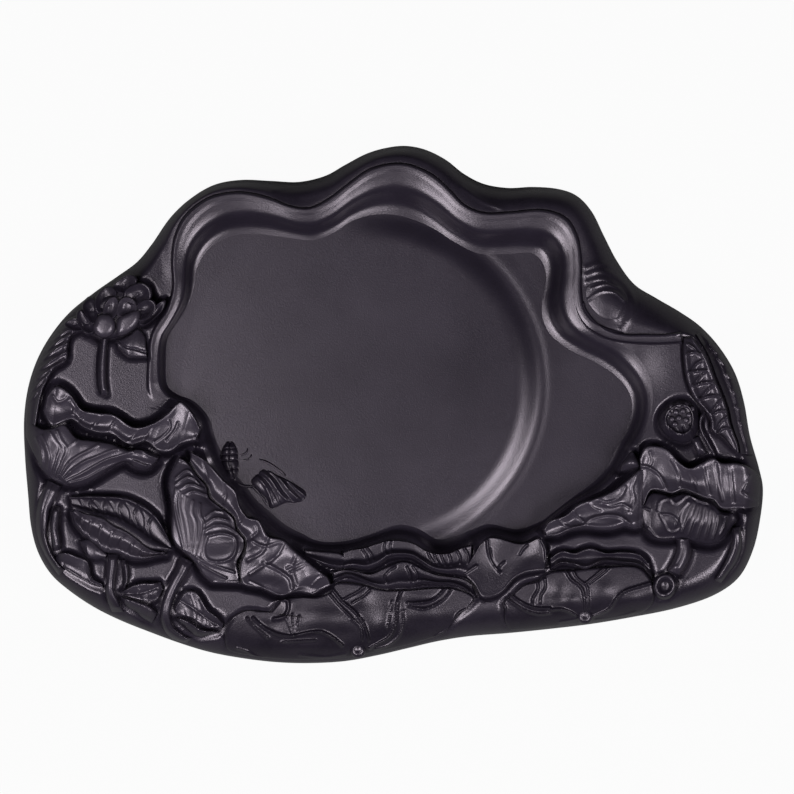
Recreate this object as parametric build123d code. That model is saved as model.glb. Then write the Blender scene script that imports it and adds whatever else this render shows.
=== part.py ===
from build123d import *
import math
import os

os.makedirs("parts", exist_ok=True)

# A carved ink stone: one slab with a lobed basin, ringed by a lotus pond in relief.
# The origin is the middle of the underside, +X to the right, +Y to the back, +Z up.
# Places on the stone are read off a picture taken from above, in its pixels, and
# plan() turns them into millimetres by the stone's real width and depth.

# The whole stone
stone_width = 300.0
stone_depth = 210.0
ground_height = 30.0
widest_height = 12.0
foot_height = 4.0
foot_share = 0.97
underside_share = 0.95

# The basin
pool_depth = 11.0
grinding_face_rise = 2.6
grinding_step = 3.2
rim_rise = 1.6

# How far each kind of carving stands above the ground round it
large_leaf_rise = 6.5
small_leaf_rise = 3.6
edge_leaf_rise = 2.6
leaf_skin_rise = 1.6
ruffle_rise = 3.8
petal_rise = 4.6
inner_petal_rise = 6.2
stem_rise = 3.0
thin_stem_rise = 1.7
pod_rise = 4.2
seed_rise = 0.5
seed_radius = 0.95
hub_rise = 1.5
hub_radius = 3.4
creature_rise = 3.4

# How deep a carving is let into the stone before the stone is cut away from it
bury = 3.0
overrun = 5.0

# The ends of the stone in the picture
left_px, right_px = 24.0, 763.0
rear_px, front_px = 146.0, 663.0


def plan(px, py):
    """Where a place in the picture lies on the stone."""
    across_share = (px - (left_px + right_px) / 2) / (right_px - left_px)
    back_share = ((rear_px + front_px) / 2 - py) / (front_px - rear_px)
    return across_share * stone_width, back_share * stone_depth


# The stone's widest outline, each point paired with the edge of the flat ground above it
side_px = [
    ((24, 420), (41, 420)), ((28, 388), (45, 393)), ((37, 360), (54, 367)),
    ((51, 335), (66, 345)), ((70, 312), (82, 322)), ((95, 292), (103, 303)),
    ((118, 276), (125, 290)), ((137, 262), (147, 279)), ((152, 244), (164, 256)),
    ((170, 218), (178, 226)), ((190, 199), (193, 209)), ((214, 185), (215, 197)),
    ((241, 180), (240, 193)), ((271, 181), (266, 198)), ((299, 182), (297, 208)),
    ((325, 176), (327, 200)), ((345, 165), (349, 184)), ((366, 154), (370, 171)),
    ((386, 148), (388, 165)), ((406, 146), (404, 165)), ((426, 150), (421, 170)),
    ((446, 160), (438, 180)), ((464, 174), (452, 194)), ((484, 184), (468, 208)),
    ((508, 188), (490, 214)), ((533, 187), (524, 212)), ((558, 189), (549, 212)),
    ((577, 196), (566, 219)), ((592, 212), (575, 236)), ((604, 236), (580, 256)),
    ((617, 261), (580, 278)), ((634, 284), (583, 303)), ((656, 298), (606, 329)),
    ((680, 312), (655, 335)), ((701, 327), (684, 341)), ((720, 348), (703, 359)),
    ((735, 373), (717, 381)), ((744, 402), (727, 406)), ((750, 436), (735, 436)),
    ((759, 468), (742, 466)), ((763, 490), (744, 490)), ((760, 520), (741, 514)),
    ((753, 550), (732, 538)), ((739, 577), (715, 560)), ((714, 595), (690, 577)),
    ((676, 608), (658, 588)), ((632, 617), (622, 593)), ((590, 624), (585, 596)),
    ((548, 629), (545, 598)), ((508, 633), (505, 600)), ((470, 636), (468, 600)),
    ((438, 641), (438, 602)), ((408, 648), (409, 604)), ((378, 655), (379, 606)),
    ((345, 661), (347, 608)), ((310, 663), (312, 610)), ((276, 662), (279, 610)),
    ((242, 658), (247, 608)), ((210, 652), (216, 608)), ((180, 643), (190, 606)),
    ((150, 632), (162, 600)), ((120, 620), (134, 590)), ((94, 607), (110, 580)),
    ((70, 591), (88, 565)), ((51, 574), (70, 550)), ((38, 552), (57, 533)),
    ((31, 526), (49, 517)), ((28, 494), (44, 490)), ((25, 457), (41, 456)),
]

# The basin: the lip where its wall starts, paired with the edge of its floor
basin_px = [
    ((159, 385), (167, 384)), ((157, 361), (166, 361)), ((160, 338), (168, 338)),
    ((170, 321), (179, 320)), ((178, 305), (189, 303)), ((181, 287), (194, 286)),
    ((180, 267), (197, 268)), ((182, 246), (206, 252)), ((193, 223), (220, 241)),
    ((214, 206), (236, 235)), ((240, 201), (255, 234)), ((266, 206), (276, 236)),
    ((290, 214), (296, 239)), ((312, 215), (316, 240)), ((333, 206), (335, 232)),
    ((352, 191), (352, 221)), ((372, 178), (373, 215)), ((396, 172), (395, 215)),
    ((419, 177), (417, 221)), ((440, 192), (436, 230)), ((459, 210), (456, 243)),
    ((483, 221), (480, 254)), ((512, 220), (508, 254)), ((539, 218), (530, 253)),
    ((560, 226), (541, 260)), ((571, 245), (546, 274)), ((573, 268), (545, 289)),
    ((572, 290), (542, 304)), ((576, 311), (543, 319)), ((589, 328), (551, 335)),
    ((609, 339), (570, 350)), ((630, 350), (595, 362)), ((644, 366), (616, 376)),
    ((652, 387), (629, 392)), ((652, 412), (632, 410)), ((645, 433), (626, 430)),
    ((634, 450), (616, 449)), ((622, 470), (606, 469)), ((604, 489), (591, 484)),
    ((579, 501), (570, 499)), ((558, 515), (552, 513)), ((543, 529), (539, 522)),
    ((523, 542), (517, 529)), ((497, 538), (490, 524)), ((478, 546), (473, 529)),
    ((461, 561), (455, 536)), ((439, 562), (437, 539)), ((419, 547), (417, 528)),
    ((398, 541), (396, 525)), ((373, 545), (371, 534)), ((345, 553), (344, 541)),
    ((318, 552), (319, 541)), ((297, 547), (303, 534)), ((277, 540), (286, 525)),
    ((258, 527), (268, 510)), ((244, 512), (256, 499)), ((232, 494), (244, 484)),
    ((219, 478), (232, 470)), ((208, 461), (222, 454)), ((201, 441), (215, 437)),
    ((197, 420), (209, 418)), ((183, 405), (195, 402)), ((168, 398), (177, 394)),
]

# Profiles, as shares across a piece and shares of its rise
side_profile_shares = ((0.0, 0.0), (0.10, 0.40), (0.32, 0.74), (0.64, 0.93), (1.0, 1.0))
wall_profile_shares = ((0.0, 0.0), (0.25, 0.20), (0.60, 0.75), (1.0, 1.0))
leaf_profile_shares = ((0.0, 1.0), (0.22, 0.72), (0.62, 0.50), (1.0, 0.80))
outer_leaf_profile_shares = ((0.0, 0.80), (0.25, 0.95), (0.65, 0.72), (1.0, 0.30))
stem_profile_shares = ((0.0, 0.35), (0.25, 0.88), (0.5, 1.0), (0.75, 0.88), (1.0, 0.35))
rim_profile_shares = ((0.0, 0.55), (0.2, 0.95), (0.6, 1.0), (1.0, 0.70))
petal_profile_shares = ((0.0, 0.55), (0.5, 1.0), (1.0, 0.70))
ruffle_profile_shares = ((0.0, 1.0), (0.5, 0.55), (1.0, 0.75))


def between(start, end, share):
    return tuple(a + share * (b - a) for a, b in zip(start, end))


def profile_height(profile_shares, share):
    """The height share that a profile has at a share across."""
    for (low, low_height), (high, high_height) in zip(profile_shares, profile_shares[1:]):
        if share <= high:
            return low_height + (share - low) / (high - low) * (high_height - low_height)
    return profile_shares[-1][1]


def stone_height_at(x, y):
    """The height of the uncut stone over a place, from the nearest station of its side."""
    nearest, share = math.inf, 1.0
    for outline, edge in side_px:
        (ox, oy), (ex, ey) = plan(*outline), plan(*edge)
        reach = (ex - ox) ** 2 + (ey - oy) ** 2
        along = ((x - ox) * (ex - ox) + (y - oy) * (ey - oy)) / reach
        held = min(max(along, 0.0), 1.0)
        gap = math.hypot(ox + held * (ex - ox) - x, oy + held * (ey - oy) - y)
        if gap < nearest:
            nearest, share = gap, held
    shoulder = ground_height - widest_height
    return widest_height + shoulder * profile_height(side_profile_shares, share)


def ring(pairs, share, height, scale_share=1.0):
    """A closed smooth line at a share of the way from each outer point to its inner one."""
    points = [between(plan(*outer), plan(*inner), share) for outer, inner in pairs]
    return Wire([Edge.make_spline(
        [Vector(x * scale_share, y * scale_share, height) for x, y in points], periodic=True)])


def solid_block():
    """The slab before the basin is cut: an undercut foot, a rounded side, a flat top."""
    rings = [ring(side_px, 0, 0, underside_share), ring(side_px, 0, foot_height, foot_share)]
    for share, height_share in side_profile_shares:
        rings.append(ring(side_px, share, widest_height + height_share * (ground_height - widest_height)))
    return Solid.make_loft(rings)


def basin_space(depth):
    """The hollow of the basin down to a depth under the ground, open upwards."""
    rings = []
    for share, depth_share in wall_profile_shares:
        rings.append(ring(basin_px, share, ground_height - depth_share * depth))
    hollow = Solid.make_loft(rings)
    above = Solid.extrude(Face(ring(basin_px, 0, ground_height)), Vector(0, 0, overrun))
    return hollow.fuse(above)


def largest(shape):
    """The main solid of a shape, without the slivers that a cut leaves at its edges."""
    return max(shape.solids(), key=lambda solid: solid.volume)


def cut(shape, *tools):
    for tool in tools:
        shape = largest(shape.cut(tool))
    return shape


def strip(back, front, rise, profile_shares, floor=None, smooth=False):
    """A carved band between two edges, with upright ends.

    It stands on the flat ground or on a given floor, and on the shoulder it is let in.
    """
    sections = []
    for back_point, front_point in zip(back, front):
        start, end = plan(*back_point), plan(*front_point)
        tops, grounds = [], []
        for share, rise_share in profile_shares:
            x, y = between(start, end, share)
            ground = stone_height_at(x, y) if floor is None else floor
            grounds.append(ground)
            tops.append(Vector(x, y, ground + rise * rise_share))
        foot = min(grounds)
        if foot < ground_height and floor is None:
            foot -= bury
        points = [Vector(*start, foot), *tops, Vector(*end, foot)]
        sections.append(Wire.make_polygon(points, close=True))
    return Solid.make_loft(sections, not smooth)


def prism(outline, low, high):
    """An upright block over an outline that is read off the picture."""
    face = Face(Wire.make_polygon([Vector(*plan(*point), low) for point in outline], close=True))
    return Solid.extrude(face, Vector(0, 0, high - low))


def dome(place, radius, rise, base):
    """A low round boss with a bevelled top."""
    x, y = plan(*place)
    drum = Solid.make_cylinder(radius, rise + bury, Plane(origin=(x, y, base - bury)))
    return drum.chamfer(rise / 2, None, drum.edges().sort_by(Axis.Z)[-1:])


# The stone itself

whole_stone = solid_block()
hollow = basin_space(pool_depth)
stone_block = cut(whole_stone, hollow)
pool_floor = ground_height - pool_depth

# The grinding face fills the basin floor but for the crescent to the right of a round step
grinding_centre_px = (372, 385)
grinding_edge_px = (532, 385)
crescent_start_px = (392, 385)
grinding_x, grinding_y = plan(*grinding_centre_px)
grinding_radius = plan(*grinding_edge_px)[0] - grinding_x
crescent_x = plan(*crescent_start_px)[0]

grinding_slab = Solid.extrude(
    Face(ring(basin_px, 0, pool_floor)), Vector(0, 0, grinding_face_rise))
grinding_cone = Solid.make_cone(
    grinding_radius, grinding_radius - grinding_step, grinding_face_rise,
    Plane(origin=(grinding_x, grinding_y, pool_floor)))
crescent = Solid.make_box(
    stone_width, stone_depth, grinding_face_rise + overrun,
    Plane(origin=(crescent_x, grinding_y - stone_depth / 2, pool_floor)))
grinding_face = cut(largest(grinding_slab.intersect(hollow)), cut(crescent, grinding_cone))

nodes = {"stone_block": stone_block, "grinding_face": grinding_face}


def seat(name, *pieces, around=(), stone=whole_stone):
    """Cut each piece to the stone under it and to its neighbours, and keep it as one node."""
    solids = []
    for piece in pieces:
        lets_in = piece.bounding_box().min.Z < ground_height - bury / 2
        stones = [stone] if lets_in else []
        solids.append(cut(piece, *stones, *[nodes[other] for other in around], *solids))
    nodes[name] = solids[0] if len(solids) == 1 else Compound(children=solids)


# The rim: a raised lip from the left leaf round the back, then a straight strip to the right

rim_outer_px = [
    (152, 398), (148, 380), (147, 358), (151, 336), (161, 316), (169, 300), (171, 284), (170, 264),
    (172, 242), (182, 219), (207, 198), (240, 192), (270, 197), (294, 206), (312, 206), (328, 198),
    (348, 184), (370, 170), (395, 164), (420, 168), (443, 182), (463, 203), (487, 213), (513, 211),
    (541, 209), (567, 217), (579, 239), (582, 266), (583, 290),
]
rim_inner_px = [
    (163, 397), (158, 380), (156, 360), (159, 338), (169, 321), (177, 305), (180, 287), (179, 267),
    (181, 246), (192, 223), (213, 205), (240, 200), (267, 205), (291, 213), (312, 214), (333, 205),
    (353, 190), (372, 177), (396, 171), (420, 176), (441, 191), (460, 209), (484, 220), (513, 219),
    (540, 217), (561, 226), (572, 245), (574, 268), (573, 290),
]
rim_strip_outer_px = [(583, 290), (585, 304), (592, 317), (607, 328), (625, 333), (645, 334), (680, 333)]
rim_strip_inner_px = [(573, 290), (576, 308), (585, 323), (600, 334), (622, 341), (645, 343), (679, 343)]
seat("basin_rim", strip(
    rim_outer_px, rim_inner_px, rim_rise, rim_profile_shares, floor=ground_height, smooth=True), strip(
    rim_strip_outer_px, rim_strip_inner_px, rim_rise, rim_profile_shares, floor=ground_height))

# The left leaf: an edge leaf above it, its inner side, its outer side and its stem

seat("left_edge_leaf", strip(
    [(72, 331), (73, 343), (67, 356), (57, 370), (44, 384), (38, 401), (31, 419)],
    [(60, 325), (49, 340), (40, 358), (33, 376), (28, 394), (26, 408), (25, 420)],
    edge_leaf_rise, outer_leaf_profile_shares))
seat("left_leaf_back", strip(
    [(47, 396), (56, 386), (69, 393), (81, 409), (97, 413), (114, 415), (133, 427), (152, 424),
     (168, 413), (180, 402), (192, 413), (200, 429)],
    [(43, 410), (52, 425), (71, 419), (84, 427), (98, 432), (113, 434), (129, 444), (146, 441),
     (158, 450), (170, 451), (182, 443), (196, 440)],
    large_leaf_rise, leaf_profile_shares))
seat("left_leaf_front", strip(
    [(29, 426), (42, 431), (54, 428), (64, 425), (76, 438), (92, 441), (111, 444), (127, 450),
     (140, 450), (150, 453), (158, 456)],
    [(28, 438), (35, 456), (46, 474), (60, 483), (76, 485), (92, 480), (108, 470), (124, 462),
     (136, 468), (148, 469), (156, 462)],
    large_leaf_rise, outer_leaf_profile_shares), around=["left_leaf_back"])
seat("left_leaf_stem", strip(
    [(48, 480), (41, 493), (37, 508), (36, 523), (38, 538), (44, 553), (52, 566), (59, 576)],
    [(61, 486), (56, 499), (50, 510), (48, 522), (47, 536), (51, 551), (58, 562), (65, 569)],
    stem_rise, stem_profile_shares), around=["left_leaf_front"])
seat("crumpled_leaf", strip(
    [(54, 506), (51, 516), (50, 528), (51, 540), (53, 551)],
    [(60, 507), (59, 517), (58, 528), (60, 540), (60, 550)],
    small_leaf_rise, stem_profile_shares), strip(
    [(58, 553), (67, 553), (76, 556), (87, 561), (91, 577), (102, 584)],
    [(55, 559), (63, 567), (74, 575), (85, 581), (92, 585), (103, 588)],
    small_leaf_rise, leaf_profile_shares), strip(
    [(80, 541), (90, 540), (107, 554)],
    [(84, 551), (91, 558), (105, 558)],
    edge_leaf_rise, petal_profile_shares), around=["left_leaf_stem"])

# The lower left leaf with its stems, and two small leaves at its foot

seat("lower_leaf_back", strip(
    [(71, 498), (85, 498), (102, 498), (123, 498), (135, 502), (146, 507), (156, 517), (164, 530),
     (172, 542)],
    [(73, 505), (84, 509), (98, 511), (110, 516), (122, 521), (133, 525), (141, 534), (150, 544),
     (164, 549)],
    small_leaf_rise, leaf_profile_shares))
seat("lower_leaf_front", strip(
    [(76, 509), (84, 513), (94, 515), (104, 518), (114, 525), (125, 530), (135, 537), (145, 546),
     (155, 551), (164, 552)],
    [(71, 512), (75, 525), (85, 537), (95, 545), (105, 552), (118, 554), (130, 559), (143, 560),
     (155, 557), (166, 555)],
    large_leaf_rise, outer_leaf_profile_shares), around=["lower_leaf_back", "crumpled_leaf"])
seat("lower_leaf_stem", strip(
    [(108, 554), (107, 566), (106, 579), (105, 591), (107, 601), (112, 612)],
    [(118, 554), (117, 566), (115, 579), (115, 591), (119, 601), (124, 612)],
    stem_rise, stem_profile_shares), around=["lower_leaf_front", "crumpled_leaf"])
seat("lower_leaf_side_stem", strip(
    [(122, 560), (124, 568), (125, 580), (123, 588)],
    [(125, 560), (128, 568), (128, 580), (126, 588)],
    thin_stem_rise, stem_profile_shares), around=["lower_leaf_front"])
seat("small_leaf_left", strip(
    [(121, 592), (127, 589), (134, 585), (143, 583), (152, 583), (160, 582)],
    [(122, 594), (128, 596), (137, 599), (148, 601), (157, 599), (163, 589)],
    small_leaf_rise, leaf_profile_shares), strip(
    [(121, 597), (130, 599), (139, 602), (149, 606), (157, 613)],
    [(121, 600), (127, 607), (136, 612), (143, 618), (152, 623)],
    small_leaf_rise, outer_leaf_profile_shares),
    around=["lower_leaf_stem", "lower_leaf_side_stem"])

# The centre leaf: its outer side, its inner side and its stem

seat("centre_leaf_front", strip(
    [(179, 457), (172, 470), (169, 483), (171, 496), (173, 509), (172, 522), (172, 534), (176, 544),
     (186, 553), (197, 564), (204, 575), (214, 583)],
    [(188, 463), (197, 476), (206, 486), (209, 498), (220, 507), (233, 518), (236, 530), (244, 540),
     (243, 551), (237, 562), (238, 571), (240, 583)],
    large_leaf_rise, outer_leaf_profile_shares), around=["left_leaf_back", "lower_leaf_back"])
seat("centre_leaf_back", strip(
    [(191, 452), (203, 459), (214, 470), (224, 481), (235, 491), (239, 505), (247, 517), (259, 521),
     (268, 536), (283, 540), (294, 550), (307, 561), (318, 570), (327, 577), (331, 585)],
    [(190, 461), (199, 475), (208, 485), (212, 497), (222, 506), (234, 516), (238, 528), (246, 539),
     (246, 551), (241, 565), (243, 583), (262, 588), (280, 595), (297, 591), (313, 594)],
    large_leaf_rise, leaf_profile_shares),
    around=["left_leaf_back", "centre_leaf_front"])
seat("centre_leaf_stem", strip(
    [(181, 556), (177, 569), (170, 581), (165, 592), (161, 605), (160, 617), (163, 629), (169, 638),
     (180, 646), (190, 649)],
    [(193, 562), (187, 573), (181, 583), (176, 593), (172, 605), (171, 617), (174, 626), (180, 633),
     (187, 639), (194, 642)],
    stem_rise, stem_profile_shares), around=["centre_leaf_front", "small_leaf_left"])
seat("small_leaf_right", strip(
    [(175, 609), (180, 599), (187, 591), (197, 593), (207, 609), (217, 617), (223, 624)],
    [(177, 614), (184, 616), (192, 618), (200, 624), (208, 628), (216, 628), (222, 629)],
    small_leaf_rise, leaf_profile_shares), strip(
    [(176, 618), (184, 619), (192, 623), (201, 629), (210, 631), (218, 631)],
    [(175, 620), (183, 626), (191, 633), (200, 637), (210, 635), (219, 633)],
    small_leaf_rise, outer_leaf_profile_shares),
    around=["centre_leaf_stem", "centre_leaf_front"])

# Two pond creatures on the grinding face and the basin's wall, by the centre leaf

creature_floor = pool_floor + grinding_face_rise
seat("pond_insect", strip(
    [(225, 443), (221, 451), (221, 460), (224, 470), (229, 478)],
    [(236, 442), (238, 451), (239, 461), (238, 471), (236, 478)],
    creature_rise, stem_profile_shares, floor=creature_floor), stone=stone_block)
seat("pond_shrimp", strip(
    [(262, 460), (274, 464), (283, 473), (292, 481), (300, 487), (306, 494)],
    [(246, 488), (256, 500), (270, 505), (281, 509), (292, 506), (303, 503)],
    creature_rise, stem_profile_shares, floor=creature_floor), stone=stone_block)

# The front leaves along the basin's lower edge

seat("rolled_leaf_tip", strip(
    [(303, 552), (315, 553), (328, 553), (338, 554), (343, 559)],
    [(305, 556), (315, 560), (327, 565), (338, 566), (344, 563)],
    ruffle_rise, stem_profile_shares), around=["centre_leaf_back"])
seat("front_upper_ruffle", strip(
    [(349, 554), (362, 552), (374, 546), (388, 543), (401, 542), (411, 545), (420, 550), (427, 559),
     (437, 563), (447, 565), (457, 564)],
    [(350, 565), (364, 563), (379, 560), (390, 555), (401, 554), (411, 557), (420, 563), (430, 568),
     (439, 570), (448, 571), (457, 570)],
    ruffle_rise, ruffle_profile_shares))
seat("front_lower_ruffle", strip(
    [(334, 569), (346, 567), (358, 566), (371, 565), (385, 563), (400, 558), (411, 561), (422, 567),
     (437, 573), (451, 574), (462, 575), (470, 580)],
    [(334, 577), (347, 573), (358, 576), (371, 581), (385, 584), (399, 582), (411, 583), (424, 580),
     (438, 581), (452, 582), (464, 586), (473, 590)],
    ruffle_rise, ruffle_profile_shares),
    around=["front_upper_ruffle", "centre_leaf_back", "rolled_leaf_tip"])
seat("panel_leaf", strip(
    [(486, 540), (490, 539), (499, 538), (508, 541), (519, 544), (530, 543), (540, 540), (547, 552)],
    [(465, 571), (477, 584), (484, 595), (500, 590), (512, 583), (524, 573), (533, 571), (543, 569)],
    ruffle_rise, leaf_profile_shares), around=["front_upper_ruffle", "front_lower_ruffle"])
seat("front_right_ruffle", strip(
    [(552, 556), (566, 551), (578, 553), (592, 549), (607, 553), (622, 552), (637, 553), (648, 561)],
    [(554, 565), (566, 564), (580, 563), (594, 560), (607, 559), (622, 560), (638, 560), (651, 572)],
    ruffle_rise, ruffle_profile_shares), around=["panel_leaf"])

# Two round leaves that lie over the front shoulder, each a skin on the stone with a hub

raised_stone = whole_stone.moved(Location((0, 0, leaf_skin_rise)))


def shoulder_leaf(outline):
    """A leaf that lies on the stone's shoulder, as thick as the skin's rise."""
    return largest(prism(outline, widest_height, ground_height + overrun).intersect(raised_stone))


seat("front_left_leaf", shoulder_leaf(
    [(228, 662), (225, 644), (226, 629), (233, 618), (244, 611), (256, 611), (270, 612), (282, 600),
     (300, 597), (316, 597), (330, 592), (337, 580), (358, 579), (384, 587), (411, 586), (438, 584),
     (460, 588), (474, 598), (466, 609), (454, 620), (446, 631), (437, 640), (434, 662)]),
    around=["centre_leaf_back", "centre_leaf_front", "front_lower_ruffle", "panel_leaf"])
seat("front_left_leaf_hub", dome((358, 650), hub_radius, hub_rise + leaf_skin_rise,
     stone_height_at(*plan(358, 650))), around=["front_left_leaf"])
seat("front_right_leaf", shoulder_leaf(
    [(515, 640), (504, 624), (505, 610), (502, 602), (513, 593), (524, 584), (538, 581), (551, 570),
     (575, 567), (606, 563), (637, 564), (650, 577), (654, 590), (650, 605), (652, 640)]),
    around=["panel_leaf", "front_right_ruffle"])
seat("front_right_leaf_hub", dome((585, 616), hub_radius, hub_rise + leaf_skin_rise,
     stone_height_at(*plan(585, 616))), around=["front_right_leaf"])
seat("curled_bud", strip(
    [(660, 575), (657, 583), (656, 591), (656, 599)],
    [(671, 574), (675, 582), (674, 591), (665, 598)],
    small_leaf_rise, stem_profile_shares), around=["front_right_leaf", "front_right_ruffle"])

# The right leaf: a long wing by the basin, the inner side, the shell in front and the stems

seat("right_leaf_wing", strip(
    [(544, 531), (550, 521), (566, 513), (579, 504), (596, 498), (613, 491), (626, 482), (638, 473)],
    [(547, 536), (557, 534), (568, 530), (583, 527), (600, 527), (613, 529), (628, 526), (635, 529)],
    large_leaf_rise, leaf_profile_shares), around=["panel_leaf"])
seat("right_leaf_back", strip(
    [(640, 458), (646, 447), (657, 446), (668, 450), (679, 462), (690, 468), (702, 463), (713, 458),
     (722, 463), (736, 463), (749, 467), (761, 476)],
    [(643, 506), (650, 491), (660, 490), (672, 493), (683, 489), (693, 492), (704, 497), (714, 500),
     (722, 508), (736, 508), (748, 508), (759, 506)],
    large_leaf_rise, leaf_profile_shares), around=["right_leaf_wing"])
seat("right_leaf_shell", strip(
    [(641, 510), (650, 495), (660, 494), (672, 497), (684, 494), (694, 497), (705, 501), (714, 506),
     (722, 512), (733, 513)],
    [(645, 528), (651, 536), (661, 539), (675, 539), (688, 540), (700, 543), (712, 544), (722, 539),
     (730, 529), (737, 520)],
    large_leaf_rise, outer_leaf_profile_shares),
    around=["right_leaf_wing", "right_leaf_back"])
seat("right_leaf_stem", strip(
    [(680, 543), (679, 552), (675, 561), (672, 570)],
    [(689, 543), (690, 552), (688, 561), (683, 572)],
    stem_rise, stem_profile_shares),
    around=["right_leaf_shell", "front_right_leaf", "curled_bud"])
seat("outer_right_stem", strip(
    [(733, 528), (732, 544), (727, 558), (720, 571), (714, 580)],
    [(741, 526), (742, 545), (737, 561), (728, 574), (721, 583)],
    stem_rise, stem_profile_shares), around=["right_leaf_shell", "right_leaf_back"])
seat("basin_petal", strip(
    [(631, 452), (627, 458), (622, 465), (621, 471)],
    [(634, 453), (638, 460), (640, 466), (637, 470)],
    petal_rise, petal_profile_shares), around=["right_leaf_wing", "right_leaf_back"])

# The seed pod, its seeds and stems, and the edge leaf to the right of it

pod_outline_px = [
    (659, 421), (662, 412), (669, 405), (677, 402), (687, 402), (694, 407), (698, 414), (699, 423),
    (697, 433), (692, 440), (684, 443), (675, 441), (667, 436), (661, 429),
]
pod_face_px = [
    (666, 416), (667, 410), (672, 406), (678, 404), (685, 404), (691, 407), (695, 412), (696, 417),
    (694, 421), (690, 423), (683, 424), (676, 424), (671, 422), (668, 419),
]
seeds_px = [
    (675, 409), (683, 407), (689, 411), (670, 414), (677, 414), (684, 414), (691, 417), (675, 420),
    (683, 420),
]


def polygon_at(outline, height):
    return Wire.make_polygon([Vector(*plan(*point), height) for point in outline], close=True)


seat("seed_pod", Solid.make_loft(
    [polygon_at(pod_outline_px, ground_height), polygon_at(pod_face_px, ground_height + pod_rise)],
    True))
seat("pod_seeds", *[Solid.make_cylinder(
    seed_radius, seed_rise, Plane(origin=(*plan(*seed), ground_height + pod_rise)))
    for seed in seeds_px])
seat("pod_stem", strip(
    [(691, 439), (694, 446), (698, 455)],
    [(699, 436), (703, 445), (708, 454)],
    thin_stem_rise, stem_profile_shares), around=["seed_pod", "right_leaf_back"])
seat("pond_reed", strip(
    [(703, 411), (699, 420), (700, 431), (706, 442), (713, 456)],
    [(706, 412), (702, 421), (703, 430), (709, 441), (716, 455)],
    thin_stem_rise, stem_profile_shares), around=["seed_pod", "pod_stem", "right_leaf_back"])
seat("right_edge_leaf_inner", strip(
    [(685, 346), (684, 354), (685, 365), (687, 378), (691, 391), (697, 402), (706, 411), (711, 422),
     (715, 431), (722, 438), (729, 450)],
    [(699, 346), (703, 354), (708, 365), (713, 378), (718, 390), (723, 402), (725, 412), (727, 422),
     (731, 432), (735, 443), (736, 452)],
    edge_leaf_rise, leaf_profile_shares),
    around=["seed_pod", "pond_reed", "right_leaf_back"])
seat("right_edge_leaf_outer", strip(
    [(701, 346), (705, 354), (710, 365), (715, 378), (720, 390), (725, 402), (728, 412), (730, 422),
     (733, 432), (737, 443), (738, 454)],
    [(714, 346), (720, 355), (727, 366), (733, 379), (738, 392), (741, 403), (743, 413), (744, 423),
     (745, 433), (746, 443), (746, 454)],
    edge_leaf_rise, outer_leaf_profile_shares),
    around=["right_edge_leaf_inner", "right_leaf_back"])

# The lotus flower: a ring of outer petals, a cup of inner ones, its stem and a fallen petal

outer_petals_px = [
    ([(115, 284), (123, 278), (131, 275)], [(122, 288), (131, 286), (135, 281)]),
    ([(131, 289), (138, 284), (148, 288)], [(131, 297), (140, 299), (150, 297)]),
    ([(139, 307), (146, 300), (154, 303)], [(141, 315), (147, 317), (154, 311)]),
    ([(145, 321), (154, 315), (162, 303)], [(146, 326), (157, 320), (165, 304)]),
    ([(97, 298), (103, 289), (112, 287)], [(99, 311), (104, 301), (114, 291)]),
    ([(83, 302), (89, 298), (93, 301)], [(84, 309), (91, 319), (94, 319)]),
    ([(76, 315), (80, 312), (85, 320)], [(80, 324), (88, 331), (91, 331)]),
]
inner_petals_px = [
    ([(94, 319), (101, 314), (109, 316)], [(95, 329), (102, 335), (112, 331)]),
    ([(117, 321), (126, 315), (136, 311)], [(117, 331), (126, 332), (137, 321)]),
    ([(100, 312), (106, 300), (115, 295)], [(109, 315), (115, 314), (120, 300)]),
    ([(121, 300), (128, 294), (134, 300)], [(117, 315), (128, 313), (136, 309)]),
]
seat("outer_petals", *[strip(back, front, petal_rise, petal_profile_shares)
                       for back, front in outer_petals_px])
seat("inner_petals", *[strip(back, front, inner_petal_rise, petal_profile_shares)
                       for back, front in inner_petals_px], around=["outer_petals"])
seat("flower_stem", strip(
    [(102, 336), (101, 345), (99, 362), (99, 380), (101, 395)],
    [(108, 336), (107, 345), (106, 362), (106, 380), (108, 395)],
    stem_rise, stem_profile_shares), around=["inner_petals", "outer_petals", "left_leaf_back"])
seat("fallen_petal", strip(
    [(117, 342), (124, 338), (131, 334), (138, 329), (145, 337)],
    [(118, 347), (124, 353), (131, 357), (140, 357), (147, 357)],
    edge_leaf_rise, petal_profile_shares), around=["inner_petals"])

# The leaf seen from below on the right rear side, a round skin on the slope

rear_leaf_px = [
    (585, 286), (592, 279), (602, 276), (613, 279), (622, 286), (628, 296), (628, 307), (622, 317),
    (611, 322), (600, 318), (592, 310), (586, 299),
]
seat("rear_leaf", shoulder_leaf(rear_leaf_px))

for name, shape in nodes.items():
    export_step(shape, f"parts/{name}.step")
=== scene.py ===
# %% [markdown]
# # A carved ink stone
# The object is one slab of dark stone with a smooth basin for grinding ink, ringed by a lotus pond
# in relief. The imported CAD model is the fixed frame: every piece made here lies where its CAD node
# lies. The first cell loads it and keeps its meshes.

# %% Load the frame
import math

import bpy
import numpy as np
from mathutils import Matrix


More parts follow.
